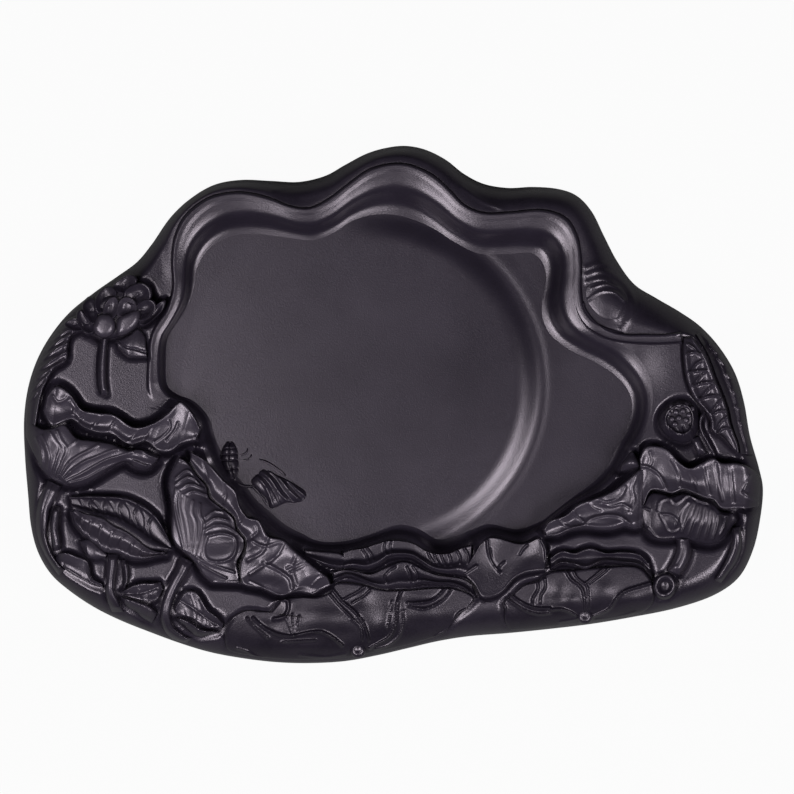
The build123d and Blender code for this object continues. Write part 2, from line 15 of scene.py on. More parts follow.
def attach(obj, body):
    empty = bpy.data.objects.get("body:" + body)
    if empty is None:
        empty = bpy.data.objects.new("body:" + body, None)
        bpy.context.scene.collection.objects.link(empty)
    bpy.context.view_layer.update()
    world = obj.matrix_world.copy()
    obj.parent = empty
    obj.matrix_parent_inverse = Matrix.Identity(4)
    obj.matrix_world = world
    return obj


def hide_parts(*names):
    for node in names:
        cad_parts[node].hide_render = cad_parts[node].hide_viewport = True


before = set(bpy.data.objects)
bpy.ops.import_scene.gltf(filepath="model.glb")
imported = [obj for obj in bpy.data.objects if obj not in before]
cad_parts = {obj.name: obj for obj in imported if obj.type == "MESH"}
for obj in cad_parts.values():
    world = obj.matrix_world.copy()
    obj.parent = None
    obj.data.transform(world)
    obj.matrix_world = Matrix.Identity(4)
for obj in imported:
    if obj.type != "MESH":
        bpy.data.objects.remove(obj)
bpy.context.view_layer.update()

# %% [markdown]
# ## Sizes and places
# Heights are in metres, as Blender has them. Places on the stone are pixels of a picture taken from
# straight above, because a free outline has no better ruler; plan() turns them into metres.

# %% Sizes of the stone
stone_width = 0.300
stone_depth = 0.210
ground = 0.030
widest = 0.012
pool_floor = 0.019
face_rise = 0.0026
face_top = pool_floor + face_rise
rim_rise = 0.0016
lid, lid_give = 0.0352, 0.0012      # folds that rise past the lid are eased to stay within its give
picture_px = 794
left_px, right_px, rear_px, front_px = 24, 763, 146, 663
middle_px = np.array([(left_px + right_px) / 2, (rear_px + front_px) / 2])
pixel = stone_width / (right_px - left_px)
pixel_deep = stone_depth / (front_px - rear_px)


def plan(points):
    """Picture pixels to metres on the stone, for one place or an array of them."""
    points = np.asarray(points, float)
    return (points - middle_px) * np.array([pixel, -pixel_deep])


# %% How far each kind of carving stands above the ground round it, in mm
large_leaf_rise, small_leaf_rise, edge_leaf_rise, ruffle_rise = 6.2, 3.6, 2.8, 3.8
stem_rise, thin_stem_rise = 3.0, 1.7
stem_hollow = (1.2, 4)              # the ground beside a stem: how deep in mm, how wide in pixels

# %% [markdown]
# ## Smooth lines through a few points
# Every edge on the stone was drawn by hand, so each is a smooth line through a few places. The
# Catmull-Rom formula passes through all of them and needs no handles. For closed lines that go once
# round the basin, a radius for each angle is enough, and makes one tidy grid of the whole stone.

# %% Lines
def smooth_line(points, per_span=8, closed=False):
    points = np.asarray(points, float)
    if closed:
        held = np.vstack([points[-1:], points, points[:2]])
    else:
        held = np.vstack([2 * points[0] - points[1], points, 2 * points[-1] - points[-2]])
    t = np.linspace(0, 1, per_span, endpoint=False)[:, None]
    spans = []
    for a, b, c, d in zip(held, held[1:], held[2:], held[3:]):
        spans.append(0.5 * (2 * b + (c - a) * t + (2 * a - 5 * b + 4 * c - d) * t ** 2
                            + (3 * b - a - 3 * c + d) * t ** 3))
    if not closed:
        spans.append(points[-1:])
    return np.vstack(spans)


turn_px = np.array([395.0, 390.0])      # the middle that every ring of the stone turns round


def radius_round(points, angles):
    """How far a closed line is from the middle of the basin, at each angle."""
    away = smooth_line(points, 10, closed=True) - turn_px
    at = np.arctan2(-away[:, 1], away[:, 0])
    order = np.argsort(at)
    return np.interp(angles, at[order], np.hypot(*away[order].T), period=2 * math.pi)


def distance_to_line(places, line):
    """The distance in pixels from each place to a line of straight bits."""
    best = np.full(len(places), 1e9)
    for start, end in zip(line, line[1:]):
        along = end - start
        share = np.clip(((places - start) @ along) / max(along @ along, 1e-9), 0, 1)
        gap = places - start - share[:, None] * along
        best = np.minimum(best, np.einsum("ij,ij->i", gap, gap))
    return np.sqrt(best)


def inside(places, outline):
    """Which places lie inside a closed outline."""
    within = np.zeros(len(places), bool)
    x, y = places.T
    for (ax, ay), (bx, by) in zip(outline, np.roll(outline, -1, axis=0)):
        crosses = (ay > y) != (by > y)
        with np.errstate(divide="ignore", invalid="ignore"):
            meets = (bx - ax) * (y - ay) / (by - ay) + ax
        within ^= crosses & (x < meets)
    return within


def ease(share):
    share = np.clip(share, 0, 1)
    return share * share * (3 - 2 * share)


# %% [markdown]
# ## The closed lines of the stone
# Five lines shape the slab: its widest outline, the edge of the flat ground, the outer edge of the
# basin's rim, the lip where the basin's wall starts, and the edge of its floor.

# %% The slab's lines, in pixels
outline_px = [
    (24, 420), (28, 388), (37, 360), (51, 335), (70, 312), (95, 292), (118, 276), (137, 262),
    (152, 244), (170, 218), (190, 199), (214, 185), (241, 180), (271, 181), (299, 182), (325, 176),
    (345, 165), (366, 154), (386, 148), (406, 146), (426, 150), (446, 160), (464, 174), (484, 184),
    (508, 188), (533, 187), (558, 189), (577, 196), (592, 212), (604, 236), (617, 261), (634, 284),
    (656, 298), (680, 312), (701, 327), (720, 348), (735, 373), (744, 402), (750, 436), (759, 468),
    (763, 490), (760, 520), (753, 550), (739, 577), (714, 595), (676, 608), (632, 617), (590, 624),
    (548, 629), (508, 633), (470, 636), (438, 641), (408, 648), (378, 655), (345, 661), (310, 663),
    (276, 662), (242, 658), (210, 652), (180, 643), (150, 632), (120, 620), (94, 607), (70, 591),
    (51, 574), (38, 552), (31, 526), (28, 494), (25, 457),
]
flat_px = [
    (41, 420), (45, 393), (54, 367), (66, 345), (82, 322), (103, 303), (125, 290), (147, 276),
    (162, 254), (175, 226), (192, 206), (214, 193), (240, 189), (268, 193), (297, 200), (326, 192),
    (348, 177), (369, 164), (388, 158), (405, 158), (422, 163), (441, 174), (456, 188), (474, 202),
    (494, 207), (526, 205), (552, 206), (571, 214), (582, 232), (588, 254), (592, 278), (600, 300),
    (622, 320), (655, 330), (686, 340), (703, 359), (717, 381), (727, 406), (735, 436), (742, 466),
    (744, 490), (741, 514), (732, 538), (715, 560), (690, 577), (658, 588), (622, 593), (585, 596),
    (545, 598), (505, 600), (468, 600), (438, 602), (409, 604), (379, 606), (347, 608), (312, 610),
    (279, 610), (247, 608), (216, 608), (190, 606), (162, 600), (134, 590), (110, 580), (88, 565),
    (70, 550), (57, 533), (49, 517), (44, 490), (41, 456),
]
rim_px = [
    (147, 392), (147, 362), (150, 336), (160, 316), (169, 299), (172, 284), (171, 262), (173, 240),
    (181, 220), (194, 206), (213, 195), (240, 191), (267, 196), (290, 205), (309, 207), (328, 198),
    (348, 183), (368, 169), (390, 163), (410, 164), (433, 174), (450, 189), (466, 205), (486, 212),
    (513, 211), (542, 209), (565, 216), (577, 233), (582, 258), (582, 288), (586, 309), (600, 324),
    (628, 334), (648, 345), (658, 362), (663, 386), (663, 412), (655, 438), (644, 455), (632, 474),
    (612, 494), (584, 507), (562, 521), (548, 538), (524, 551), (499, 547), (483, 553), (465, 569),
    (438, 570), (414, 556), (397, 550), (375, 554), (346, 562), (316, 561), (292, 556), (271, 549),
    (251, 536), (236, 519), (223, 500), (210, 484), (198, 466), (191, 444), (187, 424), (176, 410),
    (158, 406),
]
lip_px = [
    (159, 385), (157, 361), (160, 338), (170, 321), (178, 305), (181, 287), (180, 267), (182, 246),
    (193, 223), (214, 206), (240, 201), (266, 206), (290, 214), (312, 215), (333, 206), (352, 191),
    (372, 178), (396, 172), (419, 177), (440, 192), (459, 210), (483, 221), (512, 220), (539, 218),
    (560, 226), (571, 245), (573, 268), (572, 290), (576, 311), (589, 328), (609, 339), (630, 350),
    (644, 366), (652, 387), (652, 412), (645, 433), (634, 450), (622, 470), (604, 489), (579, 501),
    (558, 515), (543, 529), (523, 542), (497, 538), (478, 546), (461, 561), (439, 562), (419, 547),
    (398, 541), (373, 545), (345, 553), (318, 552), (297, 547), (277, 540), (258, 527), (244, 512),
    (232, 494), (219, 478), (208, 461), (201, 441), (197, 420), (183, 405), (168, 398),
]
floor_px = [
    (167, 384), (166, 361), (168, 338), (179, 320), (189, 303), (194, 286), (197, 268), (206, 252),
    (220, 241), (236, 235), (255, 234), (276, 236), (296, 239), (316, 240), (335, 232), (352, 221),
    (373, 215), (395, 215), (417, 221), (436, 230), (456, 243), (480, 254), (508, 254), (530, 253),
    (541, 260), (546, 274), (545, 289), (542, 304), (543, 319), (551, 335), (570, 350), (595, 362),
    (616, 376), (629, 392), (632, 410), (626, 430), (616, 449), (606, 469), (591, 484), (570, 499),
    (552, 513), (539, 522), (517, 529), (490, 524), (473, 529), (455, 536), (437, 539), (417, 528),
    (396, 525), (371, 534), (344, 541), (319, 541), (303, 534), (286, 525), (268, 510), (256, 499),
    (244, 484), (232, 470), (222, 454), (215, 437), (209, 418), (195, 402), (177, 394),
]

# %% [markdown]
# ## Rings round the slab
# Rings of points run from the underside over the rounded side, the flat ground, the rim and the
# basin's wall to the middle of the floor. Each ring is a radius for every angle, so five free
# outlines make one even net, and highlights run smoothly along it, which matters most on polished
# stone. Drawing the same shape by hand from one primitive would leave dents in it.

# %% The five radii and the round step of the grinding face
ring_count = 900
angles = np.linspace(-math.pi, math.pi, ring_count + 1)
heading = np.column_stack([np.cos(angles), -np.sin(angles)])
outline_r = radius_round(outline_px, angles)
flat_r = np.minimum(radius_round(flat_px, angles), outline_r - 4)
rim_r = np.minimum(radius_round(rim_px, angles), flat_r - 0.5)
lip_r = np.minimum(radius_round(lip_px, angles), rim_r - 2)
floor_r = np.minimum(radius_round(floor_px, angles), lip_r - 4)
face_px, face_radius = np.array([372.0, 385.0]), 160.0
offset_px = turn_px - face_px
along = heading @ offset_px
step_r = -along + np.sqrt(along ** 2 + face_radius ** 2 - offset_px @ offset_px)
step_r = np.minimum(step_r, floor_r - 4)
print("widest ring", outline_r.max(), "px, floor", floor_r.min(), "to", floor_r.max())


def on_ring(radius):
    """The places of one ring, from its radius at every angle."""
    return turn_px + heading * radius[:, None]


# %% Heights of the slab
def side_height(share):
    """The rounded side: a quarter of an ellipse from the widest outline to the ground."""
    return widest + (ground - widest) * np.sqrt(np.clip(1 - (1 - share) ** 2, 0, 1))


def polar(places):
    away = places - turn_px
    return np.arctan2(-away[..., 1], away[..., 0]), np.hypot(away[..., 0], away[..., 1])


def surface_at(places):
    """The height of the slab, its basin filled in, under any places."""
    at, reach = polar(places)
    outer = np.interp(at, angles, outline_r)
    inner = np.interp(at, angles, flat_r)
    return side_height(np.clip((outer - reach) / (outer - inner), 0, 1))


roll_start, roll_width = 20, 28         # pixels before the round step, and across it
groove_depth, crown_height = 0.0003, 0.0009
strip_fall = 0.0020


def floor_height(places):
    """The basin's floor: the grinding face rolls over its round edge into the crescent."""
    out = np.hypot(places[..., 0] - face_px[0], places[..., 1] - face_px[1])
    roll = ease(np.clip((out - face_radius + roll_start) / roll_width, 0, 1) ** 1.6)
    behind = ease((places[..., 0] - 340) / 90)
    groove = groove_depth * np.exp(-((out - face_radius - 12) / 5) ** 2)
    crown = crown_height * (1 - np.clip(out / 190, 0, 1) ** 2)
    return pool_floor + face_rise * (1 - roll * behind) + crown - groove * behind


def basin_side_fall(places):
    """The ground by the right strip falls a little towards the basin."""
    return strip_fall * np.exp(-((places[..., 0] - 636) / 24) ** 2 - ((places[..., 1] - 372) / 30) ** 2)


line_sharpness = 0.72       # a ridge is cut this much narrower than the width it is given


def relief(places, lines):
    """Ridges, and grooves where the height is negative: (points, height in mm, width in px)."""
    flat = places.reshape(-1, 2)
    height = np.zeros(len(flat))
    for points, rise, width in lines:
        line = smooth_line(points, 5) if len(points) > 2 else np.asarray(points, float)
        width = width * line_sharpness
        low, high = line.min(0) - 3 * width, line.max(0) + 3 * width
        near = np.all((flat > low) & (flat < high), axis=1)
        if near.any():
            height[near] += 0.001 * rise * np.exp(-(distance_to_line(flat[near], line) / width) ** 2)
    return height.reshape(places.shape[:-1])


def veins(height, width, *lines):
    """Lines that share one height and width, as relief() takes them."""
    return [(line, height, width) for line in lines]


# %% [markdown]
# ## From a net of points to a piece
# Each piece starts as Blender's own grid primitive, because its faces are already in order. Its
# points are then laid where the stone's shape has them. A ring's first and last column meet, and
# merging the doubles closes it. An open net gets a foot that goes down into the stone and is filled.

# %% Piece helpers
weld_distance = 0.000002


def start_clean():
    if bpy.context.object and bpy.context.object.mode != "OBJECT":
        bpy.ops.object.mode_set(mode="OBJECT")
    bpy.ops.object.select_all(action="DESELECT")


def net_piece(name, net, crease=40, fill=False, turn_out=False):
    """A piece from rows of points in metres, its doubles merged and its faces turned outwards."""
    start_clean()
    row_count, column_count = net.shape[:2]
    bpy.ops.mesh.primitive_grid_add(x_subdivisions=column_count - 1, y_subdivisions=row_count - 1)
    piece = bpy.context.object
    piece.name = piece.data.name = name + "_form"
    points = np.ascontiguousarray(net.reshape(-1, 3), np.float32)
    piece.data.vertices.foreach_set("co", points.ravel())
    bpy.ops.object.mode_set(mode="EDIT")
    bpy.ops.mesh.select_all(action="SELECT")
    bpy.ops.mesh.remove_doubles(threshold=weld_distance)
    if fill:
        bpy.ops.mesh.select_all(action="DESELECT")
        bpy.ops.mesh.select_mode(type="EDGE")
        bpy.ops.mesh.select_non_manifold(extend=False, use_wire=False, use_multi_face=False,
                                         use_non_contiguous=False, use_verts=False)
        bpy.ops.mesh.edge_face_add()
    if fill or turn_out:
        bpy.ops.mesh.select_all(action="SELECT")
        bpy.ops.mesh.normals_make_consistent(inside=False)
    bpy.ops.object.mode_set(mode="OBJECT")
    bpy.ops.object.shade_smooth_by_angle(angle=math.radians(crease))
    return piece


def finish_piece(piece, material, *nodes):
    piece.data.materials.clear()
    piece.data.materials.append(material)
    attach(piece, "root")
    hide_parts(*nodes)
    print(piece.name, len(piece.data.polygons), "faces")


def with_height(places, heights):
    """Places and heights to points; the highest folds are eased under the stone's full height."""
    over = np.maximum(heights - lid, 0)
    heights = heights - over + lid_give * np.tanh(over / lid_give)
    flat = plan(places.reshape(-1, 2)).reshape(places.shape)
    return np.dstack([flat, heights])


# %% [markdown]
# ## The stone's finish
# Such stone is fine-grained and almost black, with a little violet. Rubbing has left it satin: the
# basin is the smoothest, and the carving keeps fine tool marks. High places get a lighter tone the
# higher they stand, a painted highlight, and the motifs that lie in shade get a darker copy of the
# carved stone with less shine, which is painted shade. One node group makes the grain of all three,
# with its own values in each material.

# %% The grain group
def socket(group, name, way, kind="NodeSocketFloat", value=None):
    made = group.interface.new_socket(name=name, in_out=way, socket_type=kind)
    if value is not None:
        made.default_value = value
    return made


def add_node(tree, kind, **values):
    """A new node with the named inputs set; an underscore stands for the space in an input's name."""
    node = tree.nodes.new(kind)
    for name, value in values.items():
        node.inputs[name.replace("_", " ")].default_value = value
    return node


grain = bpy.data.node_groups.new("stone grain", "ShaderNodeTree")
socket(grain, "Place", "INPUT", "NodeSocketVector")
socket(grain, "Cloud Scale", "INPUT", value=30.0)
socket(grain, "Grain Scale", "INPUT", value=2200.0)
for output in ("Cloud", "Grain", "Painted Highlight Mask"):
    socket(grain, output, "OUTPUT")
way_in, way_out = grain.nodes.new("NodeGroupInput"), grain.nodes.new("NodeGroupOutput")
cloud = add_node(grain, "ShaderNodeTexNoise", Detail=5, Roughness=0.6)
fine = add_node(grain, "ShaderNodeTexNoise", Detail=3, Roughness=0.5)
axes = grain.nodes.new("ShaderNodeSeparateXYZ")
# This mask grows with height; it lightens the base colour of high places, a painted highlight.
high = add_node(grain, "ShaderNodeMapRange", From_Min=0.0285, From_Max=0.0355)
for node in (cloud, fine, axes):
    grain.links.new(way_in.outputs["Place"], node.inputs["Vector"])
grain.links.new(way_in.outputs["Cloud Scale"], cloud.inputs["Scale"])
grain.links.new(way_in.outputs["Grain Scale"], fine.inputs["Scale"])
grain.links.new(axes.outputs["Z"], high.inputs["Value"])
for node, output in ((cloud, "Cloud"), (fine, "Grain"), (high, "Painted Highlight Mask")):
    grain.links.new(node.outputs[0], way_out.inputs[output])


# %% Three finishes of the same stone, the third a darker copy with painted shade
noise_low, noise_high = 0.3, 0.7        # nearly all of a noise lies between these
grain_share = 0.8                       # how strongly the fine grain speckles the tone


def colour_mix(tree, **colours):
    node = tree.nodes.new("ShaderNodeMix")
    node.data_type = "RGBA"
    for side, colour in colours.items():
        node.inputs[side].default_value = (*colour, 1)
    return node


def stone_material(name, dark, light, painted_highlight, smooth, rough, bump, cloud_scale, shine=0.5):
    """Stone from its dark and light tone, the tone painted on its high places as a highlight, and its
    roughness.
    """
    material = bpy.data.materials.new(name)
    material.use_nodes = True
    tree = material.node_tree
    skin = tree.nodes["Principled BSDF"]
    place = tree.nodes.new("ShaderNodeTexCoord")
    group = tree.nodes.new("ShaderNodeGroup")
    group.node_tree = grain
    group.inputs["Cloud Scale"].default_value = cloud_scale
    group.inputs["Grain Scale"].default_value = 1700.0
    tone = colour_mix(tree, A=dark, B=light)
    painted_highlight_mix = colour_mix(tree, B=painted_highlight)
    speckled, both = tree.nodes.new("ShaderNodeMath"), tree.nodes.new("ShaderNodeMath")
    speckled.operation = "MULTIPLY_ADD"
    speckled.inputs[1].default_value = grain_share
    speckled.inputs[2].default_value = -grain_share / 2
    spread = add_node(tree, "ShaderNodeMapRange", From_Min=noise_low, From_Max=noise_high)
    polish = add_node(tree, "ShaderNodeMapRange", From_Min=noise_low, From_Max=noise_high,
                      To_Min=smooth, To_Max=rough)
    grit = add_node(tree, "ShaderNodeBump", Strength=bump, Distance=0.0002)
    skin.inputs["IOR"].default_value = 1.55
    skin.inputs["Specular IOR Level"].default_value = shine
    skin.inputs["Specular Tint"].default_value = (1.0, 0.89, 1.0, 1)
    for output, into in (
            (place.outputs["Object"], group.inputs["Place"]),
            (group.outputs["Grain"], speckled.inputs[0]),
            (speckled.outputs[0], both.inputs[0]),
            (group.outputs["Cloud"], both.inputs[1]),
            (both.outputs[0], spread.inputs["Value"]),
            (spread.outputs[0], tone.inputs["Factor"]),
            (group.outputs["Painted Highlight Mask"], painted_highlight_mix.inputs["Factor"]),
            (tone.outputs["Result"], painted_highlight_mix.inputs["A"]),
            (painted_highlight_mix.outputs["Result"], skin.inputs["Base Color"]),
            (group.outputs["Cloud"], polish.inputs["Value"]),
            (polish.outputs[0], skin.inputs["Roughness"]),
            (group.outputs["Grain"], grit.inputs["Height"]),
            (grit.outputs[0], skin.inputs["Normal"])):
        tree.links.new(output, into)
    return material


# The third colour of each finish is the lighter tone painted on high places as a highlight.
basin_finish = stone_material(
    "rubbed basin stone", (0.0080, 0.0062, 0.0108), (0.0125, 0.0098, 0.0165), (0.014, 0.011, 0.018),
    smooth=0.29, rough=0.34, bump=0.32, cloud_scale=22)
carved_finish = stone_material(
    "satin carved stone", (0.0070, 0.0054, 0.0096), (0.0125, 0.0098, 0.0165), (0.026, 0.0215, 0.031),
    smooth=0.26, rough=0.37, bump=0.40, cloud_scale=60)
# A darker copy of the carved stone, with less shine, for motifs that lie in shade: painted shade.
painted_shade_finish = stone_material(
    "carved stone with painted shade", (0.0055, 0.0042, 0.0077), (0.0100, 0.0078, 0.0132), (0.0120, 0.0095, 0.0157),
    smooth=0.30, rough=0.38, bump=0.40, cloud_scale=60, shine=0.38)
print("materials", basin_finish.name, carved_finish.name, painted_shade_finish.name)

# %% [markdown]
# ## The ground falls towards each leaf
# The carver sank the ground round every motif, so that a leaf seems to stand higher than it does, and
# the hollow beside it stays dark. Each motif leaves its outline here, and the slab, which is made
# last, is lowered near all of them.

# %% Hollows
hollows = []


def hollow_depth(places):
    """How far the ground is sunk beside the motifs, in metres; the rounded side keeps its shape."""
    flat = places.reshape(-1, 2)
    depth = np.zeros(len(flat))
    for outline, deepest, width in hollows:
        low, top = outline.min(0) - width, outline.max(0) + width
        near = np.flatnonzero(np.all((flat > low) & (flat < top), axis=1))
        if len(near):
            spots = flat[near]
            away = distance_to_line(spots, np.vstack([outline, outline[:1]]))
            away[inside(spots, outline)] = 0
            depth[near] = np.maximum(depth[near], deepest * 0.001 * (1 - ease(away / width)))
    share = (surface_at(flat) - widest) / (ground - widest)
    return (depth * ease(share * 1.15)).reshape(places.shape[:-1])


def swells(at, hills):
    """Soft hills and dips: middle in pixels, half widths in pixels, height in mm."""
    return 0.001 * sum(high * np.exp(-((at[..., 0] - x) / wide) ** 2 - ((at[..., 1] - y) / deep) ** 2)
                       for x, y, wide, deep, high in hills)


def foot_height(places):
    """How deep a piece's foot goes into the stone, deeper on the flat ground than on the side."""
    top = surface_at(places)
    return top - 0.003 - 0.004 * (top - widest) / (ground - widest)


# %% [markdown]
# ## How a leaf is made
# A carved leaf is a band between two wavy margins. Its net runs along and across it, its height
# follows a profile across, and pleats and veins are added as soft ridges and grooves. Its outermost
# points go down into the stone, so the piece is closed and seated and nothing shows beneath it.

# %% Profiles across a leaf: share of the way across, share of its height
inner_side = [(0, 0.90), (0.06, 1.0), (0.3, 0.72), (0.62, 0.5), (0.88, 0.62), (1, 0.74)]
outer_side = [(0, 0.78), (0.2, 0.95), (0.45, 0.88), (0.75, 0.58), (1, 0.12)]
round_stem = [(0, 0.1), (0.14, 0.62), (0.32, 0.93), (0.5, 1), (0.68, 0.93), (0.86, 0.62), (1, 0.1)]
petal_side = [(0, 0.5), (0.25, 0.88), (0.5, 1), (0.75, 0.86), (1, 0.5)]


step_along, step_across = 0.6, 0.55     # pixels between the points of a leaf's net
edge_drop = 0.8                         # how far an edge rounds down, as a share of its width
foot_inset = 0.992                      # the foot stands a little towards the middle of the stone
floor_foot = 0.0025                     # how deep pieces on the grinding face go into it


def closer_at_ends(count):
    """Shares from 0 to 1 that crowd at both ends, where an edge is rounded."""
    even = np.linspace(0, 1, count)
    return 0.35 * even + 0.65 * (0.5 - 0.5 * np.cos(even * math.pi))


def with_foot(places, heights, foot):
    """Adds a border of points that go down into the stone round a net."""
    places = np.pad(places, ((1, 1), (1, 1), (0, 0)), mode="edge")
    heights = np.pad(heights, 1, mode="edge")
    border = np.ones(heights.shape, bool)
    border[1:-1, 1:-1] = False
    places[border] = turn_px + (places[border] - turn_px) * foot_inset
    heights[border] = foot(places[border])
    return places, heights


def leaf(name, back, front, rise, profile, pleats=(0, 0), end_shares=(0.3, 0.3), floor=None,
         lines=(), rounding=2.1, material=carved_finish, hollow=None, hills=(), node=None):
    """A band from its back margin to its front margin; rise is in mm, places are in pixels."""
    back_rail, front_rail = smooth_line(back, 16), smooth_line(front, 16)
    length = np.hypot(*np.diff((back_rail + front_rail) / 2, axis=0).T).sum()
    width = np.hypot(*(front_rail - back_rail).T).max()
    along = closer_at_ends(int(np.clip(length / step_along, 24, 380)))
    across = closer_at_ends(int(np.clip(width / step_across, 12, 120)))
    stations = np.linspace(0, 1, len(back_rail))
    rails = [np.column_stack([np.interp(along, stations, axis) for axis in rail.T])
             for rail in (back_rail, front_rail)]
    places = rails[0][:, None] + across[None, :, None] * (rails[1] - rails[0])[:, None]
    shape = smooth_line(profile, 12)
    height = np.broadcast_to(np.interp(across, shape[:, 0], shape[:, 1]), places.shape[:2]).copy()
    start, end = end_shares
    fade = max(width * 0.5, 6)
    taper = (start + (1 - start) * ease(along * length / fade)) * (
        end + (1 - end) * ease((1 - along) * length / fade))
    height *= taper[:, None] * rise * 0.001
    count, depth = pleats
    if count:
        wave = np.abs(np.sin(math.pi * (count * along + 0.25 * np.sin(7 * along))))[:, None] ** 0.8 - 0.6
        margin = 0.35 + 0.65 * np.abs(2 * across - 1)[None] ** 1.5
        height += 0.001 * depth * wave * margin
    height += relief(places, lines) + swells(places, hills)
    local_width = np.hypot(*(rails[1] - rails[0]).T)[:, None]
    edge = np.minimum(np.minimum(across, 1 - across)[None] * local_width,
                      np.minimum(along, 1 - along)[:, None] * length)
    reach = np.minimum(rounding, local_width * 0.25)
    left = 1 - np.clip(edge / reach, 0, 1)
    height -= reach * pixel * edge_drop * (1 - np.sqrt(np.clip(1 - left ** 2, 0, 1)))
    if floor is None:
        base, low = surface_at(places), foot_height
        deepest, reach_px = hollow or (min(0.6 * rise, 3.8), 2.5 + 1.1 * rise)
        hollows.append((np.vstack([back_rail[::6], front_rail[::-6]]), deepest, reach_px))
    else:
        base, low = floor, lambda at: np.full(len(at), floor - floor_foot)
    places, heights = with_foot(places, base + height, low)
    piece = net_piece(name, with_height(places, heights), fill=True)
    finish_piece(piece, material, node or name.rstrip("_0123456789"))
    return piece


def patch(name, outline, middle, rise, profile, lines=(), floor=None, rows=40, turns=240,
          rounding=3.0, lift=None, material=carved_finish, hollow=None, level=0.0, node=None):
    """Rings from an outline to a middle; level is how far the base keeps the height at its middle."""
    outline, middle = smooth_line(outline, 10, closed=True), np.asarray(middle, float)
    away = outline - middle
    at = np.arctan2(-away[:, 1], away[:, 0])
    order = np.argsort(at)
    turn = np.linspace(-math.pi, math.pi, turns + 1)
    reach = np.interp(turn, at[order], np.hypot(*away[order].T), period=2 * math.pi)
    inward = closer_at_ends(rows * 2 - 1)[:rows] * 2
    inward[-1] = 1
    spokes = np.column_stack([np.cos(turn), -np.sin(turn)])
    places = middle + spokes[None] * (reach[None] * (1 - inward)[:, None])[..., None]
    shape = smooth_line(profile, 12)
    rows_high = np.interp(inward, shape[:, 0], shape[:, 1])[:, None]
    height = np.broadcast_to(rows_high, places.shape[:2]) * rise * 0.001 + relief(places, lines)
    if lift is not None:
        height = height + lift(places)
    left = 1 - np.clip(inward[:, None] * reach[None] / rounding, 0, 1)
    height -= rounding * pixel * edge_drop * (1 - np.sqrt(np.clip(1 - left ** 2, 0, 1)))
    foot_places = turn_px + (places[:1] - turn_px) * foot_inset
    if floor is None:
        base = surface_at(places) * (1 - level) + surface_at(middle) * level
        foot = foot_height(foot_places)
        hollows.append((outline[::4], *(hollow or (min(0.5 * rise, 2.4), 3 + rise))))
    else:
        base, foot = floor, np.full(foot_places.shape[:2], floor - floor_foot)
    places = np.vstack([np.broadcast_to(middle, foot_places.shape), foot_places, places])
    heights = np.vstack([np.full(foot.shape, foot.min()), foot, base + height])
    piece = net_piece(name, with_height(places, heights), turn_out=True)
    finish_piece(piece, material, node or name.rstrip("_0123456789"))
    return piece


# %% [markdown]
# ## The left leaf
# The largest leaf folds over the left edge. Its inner side opens to the back in soft pleats, and its
# outer side rolls forward with ribs that run down to the stem.

# %% The left leaf
leaf("left_edge_leaf",
     [(90, 327), (72, 334), (67, 346), (66, 360), (54, 368), (47, 380), (40, 398), (34, 432)],
     [(84, 312), (64, 322), (50, 339), (40, 357), (33, 375), (28, 392), (26, 408), (26, 434)],
     2.6, [(0, 1), (0.1, 1), (0.3, 0.7), (0.6, 0.8), (0.9, 0.6), (1, 0.2)], end_shares=(0.4, 0.5),
     hollow=(2.4, 7),
     lines=veins(1.0, 2, [(86, 324), (74, 324), (62, 330)], [(78, 329), (66, 331), (54, 340)],
           [(71, 335), (60, 340), (48, 350)], [(68, 343), (56, 349), (43, 360)],
           [(67, 352), (54, 359), (39, 370)], [(64, 361), (50, 369), (36, 380)])
         + veins(0.9, 2, [(54, 370), (44, 378), (32, 391)])
         + veins(0.8, 2, [(47, 381), (38, 391), (29, 402)]))
leaf("left_leaf_back",
     [(47, 396), (56, 386), (69, 393), (81, 409), (97, 413), (114, 415), (133, 427), (152, 424), (168, 413),
      (180, 402), (192, 413), (200, 429)],
     [(43, 410), (52, 425), (71, 419), (84, 427), (98, 432), (113, 434), (129, 444), (146, 441), (158, 450),
      (170, 451), (182, 443), (196, 440)],
     large_leaf_rise, inner_side, pleats=(9, 0.55), end_shares=(0.45, 0.6), rounding=3.0,
     lines=veins(0.7, 2, [(69, 394), (66, 399), (58, 402), (53, 396)],
           [(169, 421), (170, 428), (163, 436), (155, 442)], [(178, 423), (175, 430), (167, 440)])
         + veins(0.6, 2, [(70, 402), (74, 408), (73, 414)], [(101, 416), (98, 421), (92, 427)])
         + veins(0.5, 2, [(118, 418), (113, 424), (108, 431)])
         + veins(0.7, 2.2, [(140, 428), (136, 434), (129, 441)])
         + veins(-0.6, 2, [(152, 426), (148, 433), (144, 440)])
         + veins(0.8, 2.4, [(171, 402), (178, 401), (185, 406), (192, 413), (198, 427), (199, 433),
           (196, 437)])
         + veins(-0.5, 2, [(84, 415), (80, 420), (76, 424)]),
     hills=[(57, 398, 9, 9, 1.0), (92, 424, 8, 5, -0.6), (116, 427, 10, 6, 0.7), (150, 434, 11, 7, 0.8),
         (187, 424, 8, 12, 1.0)])
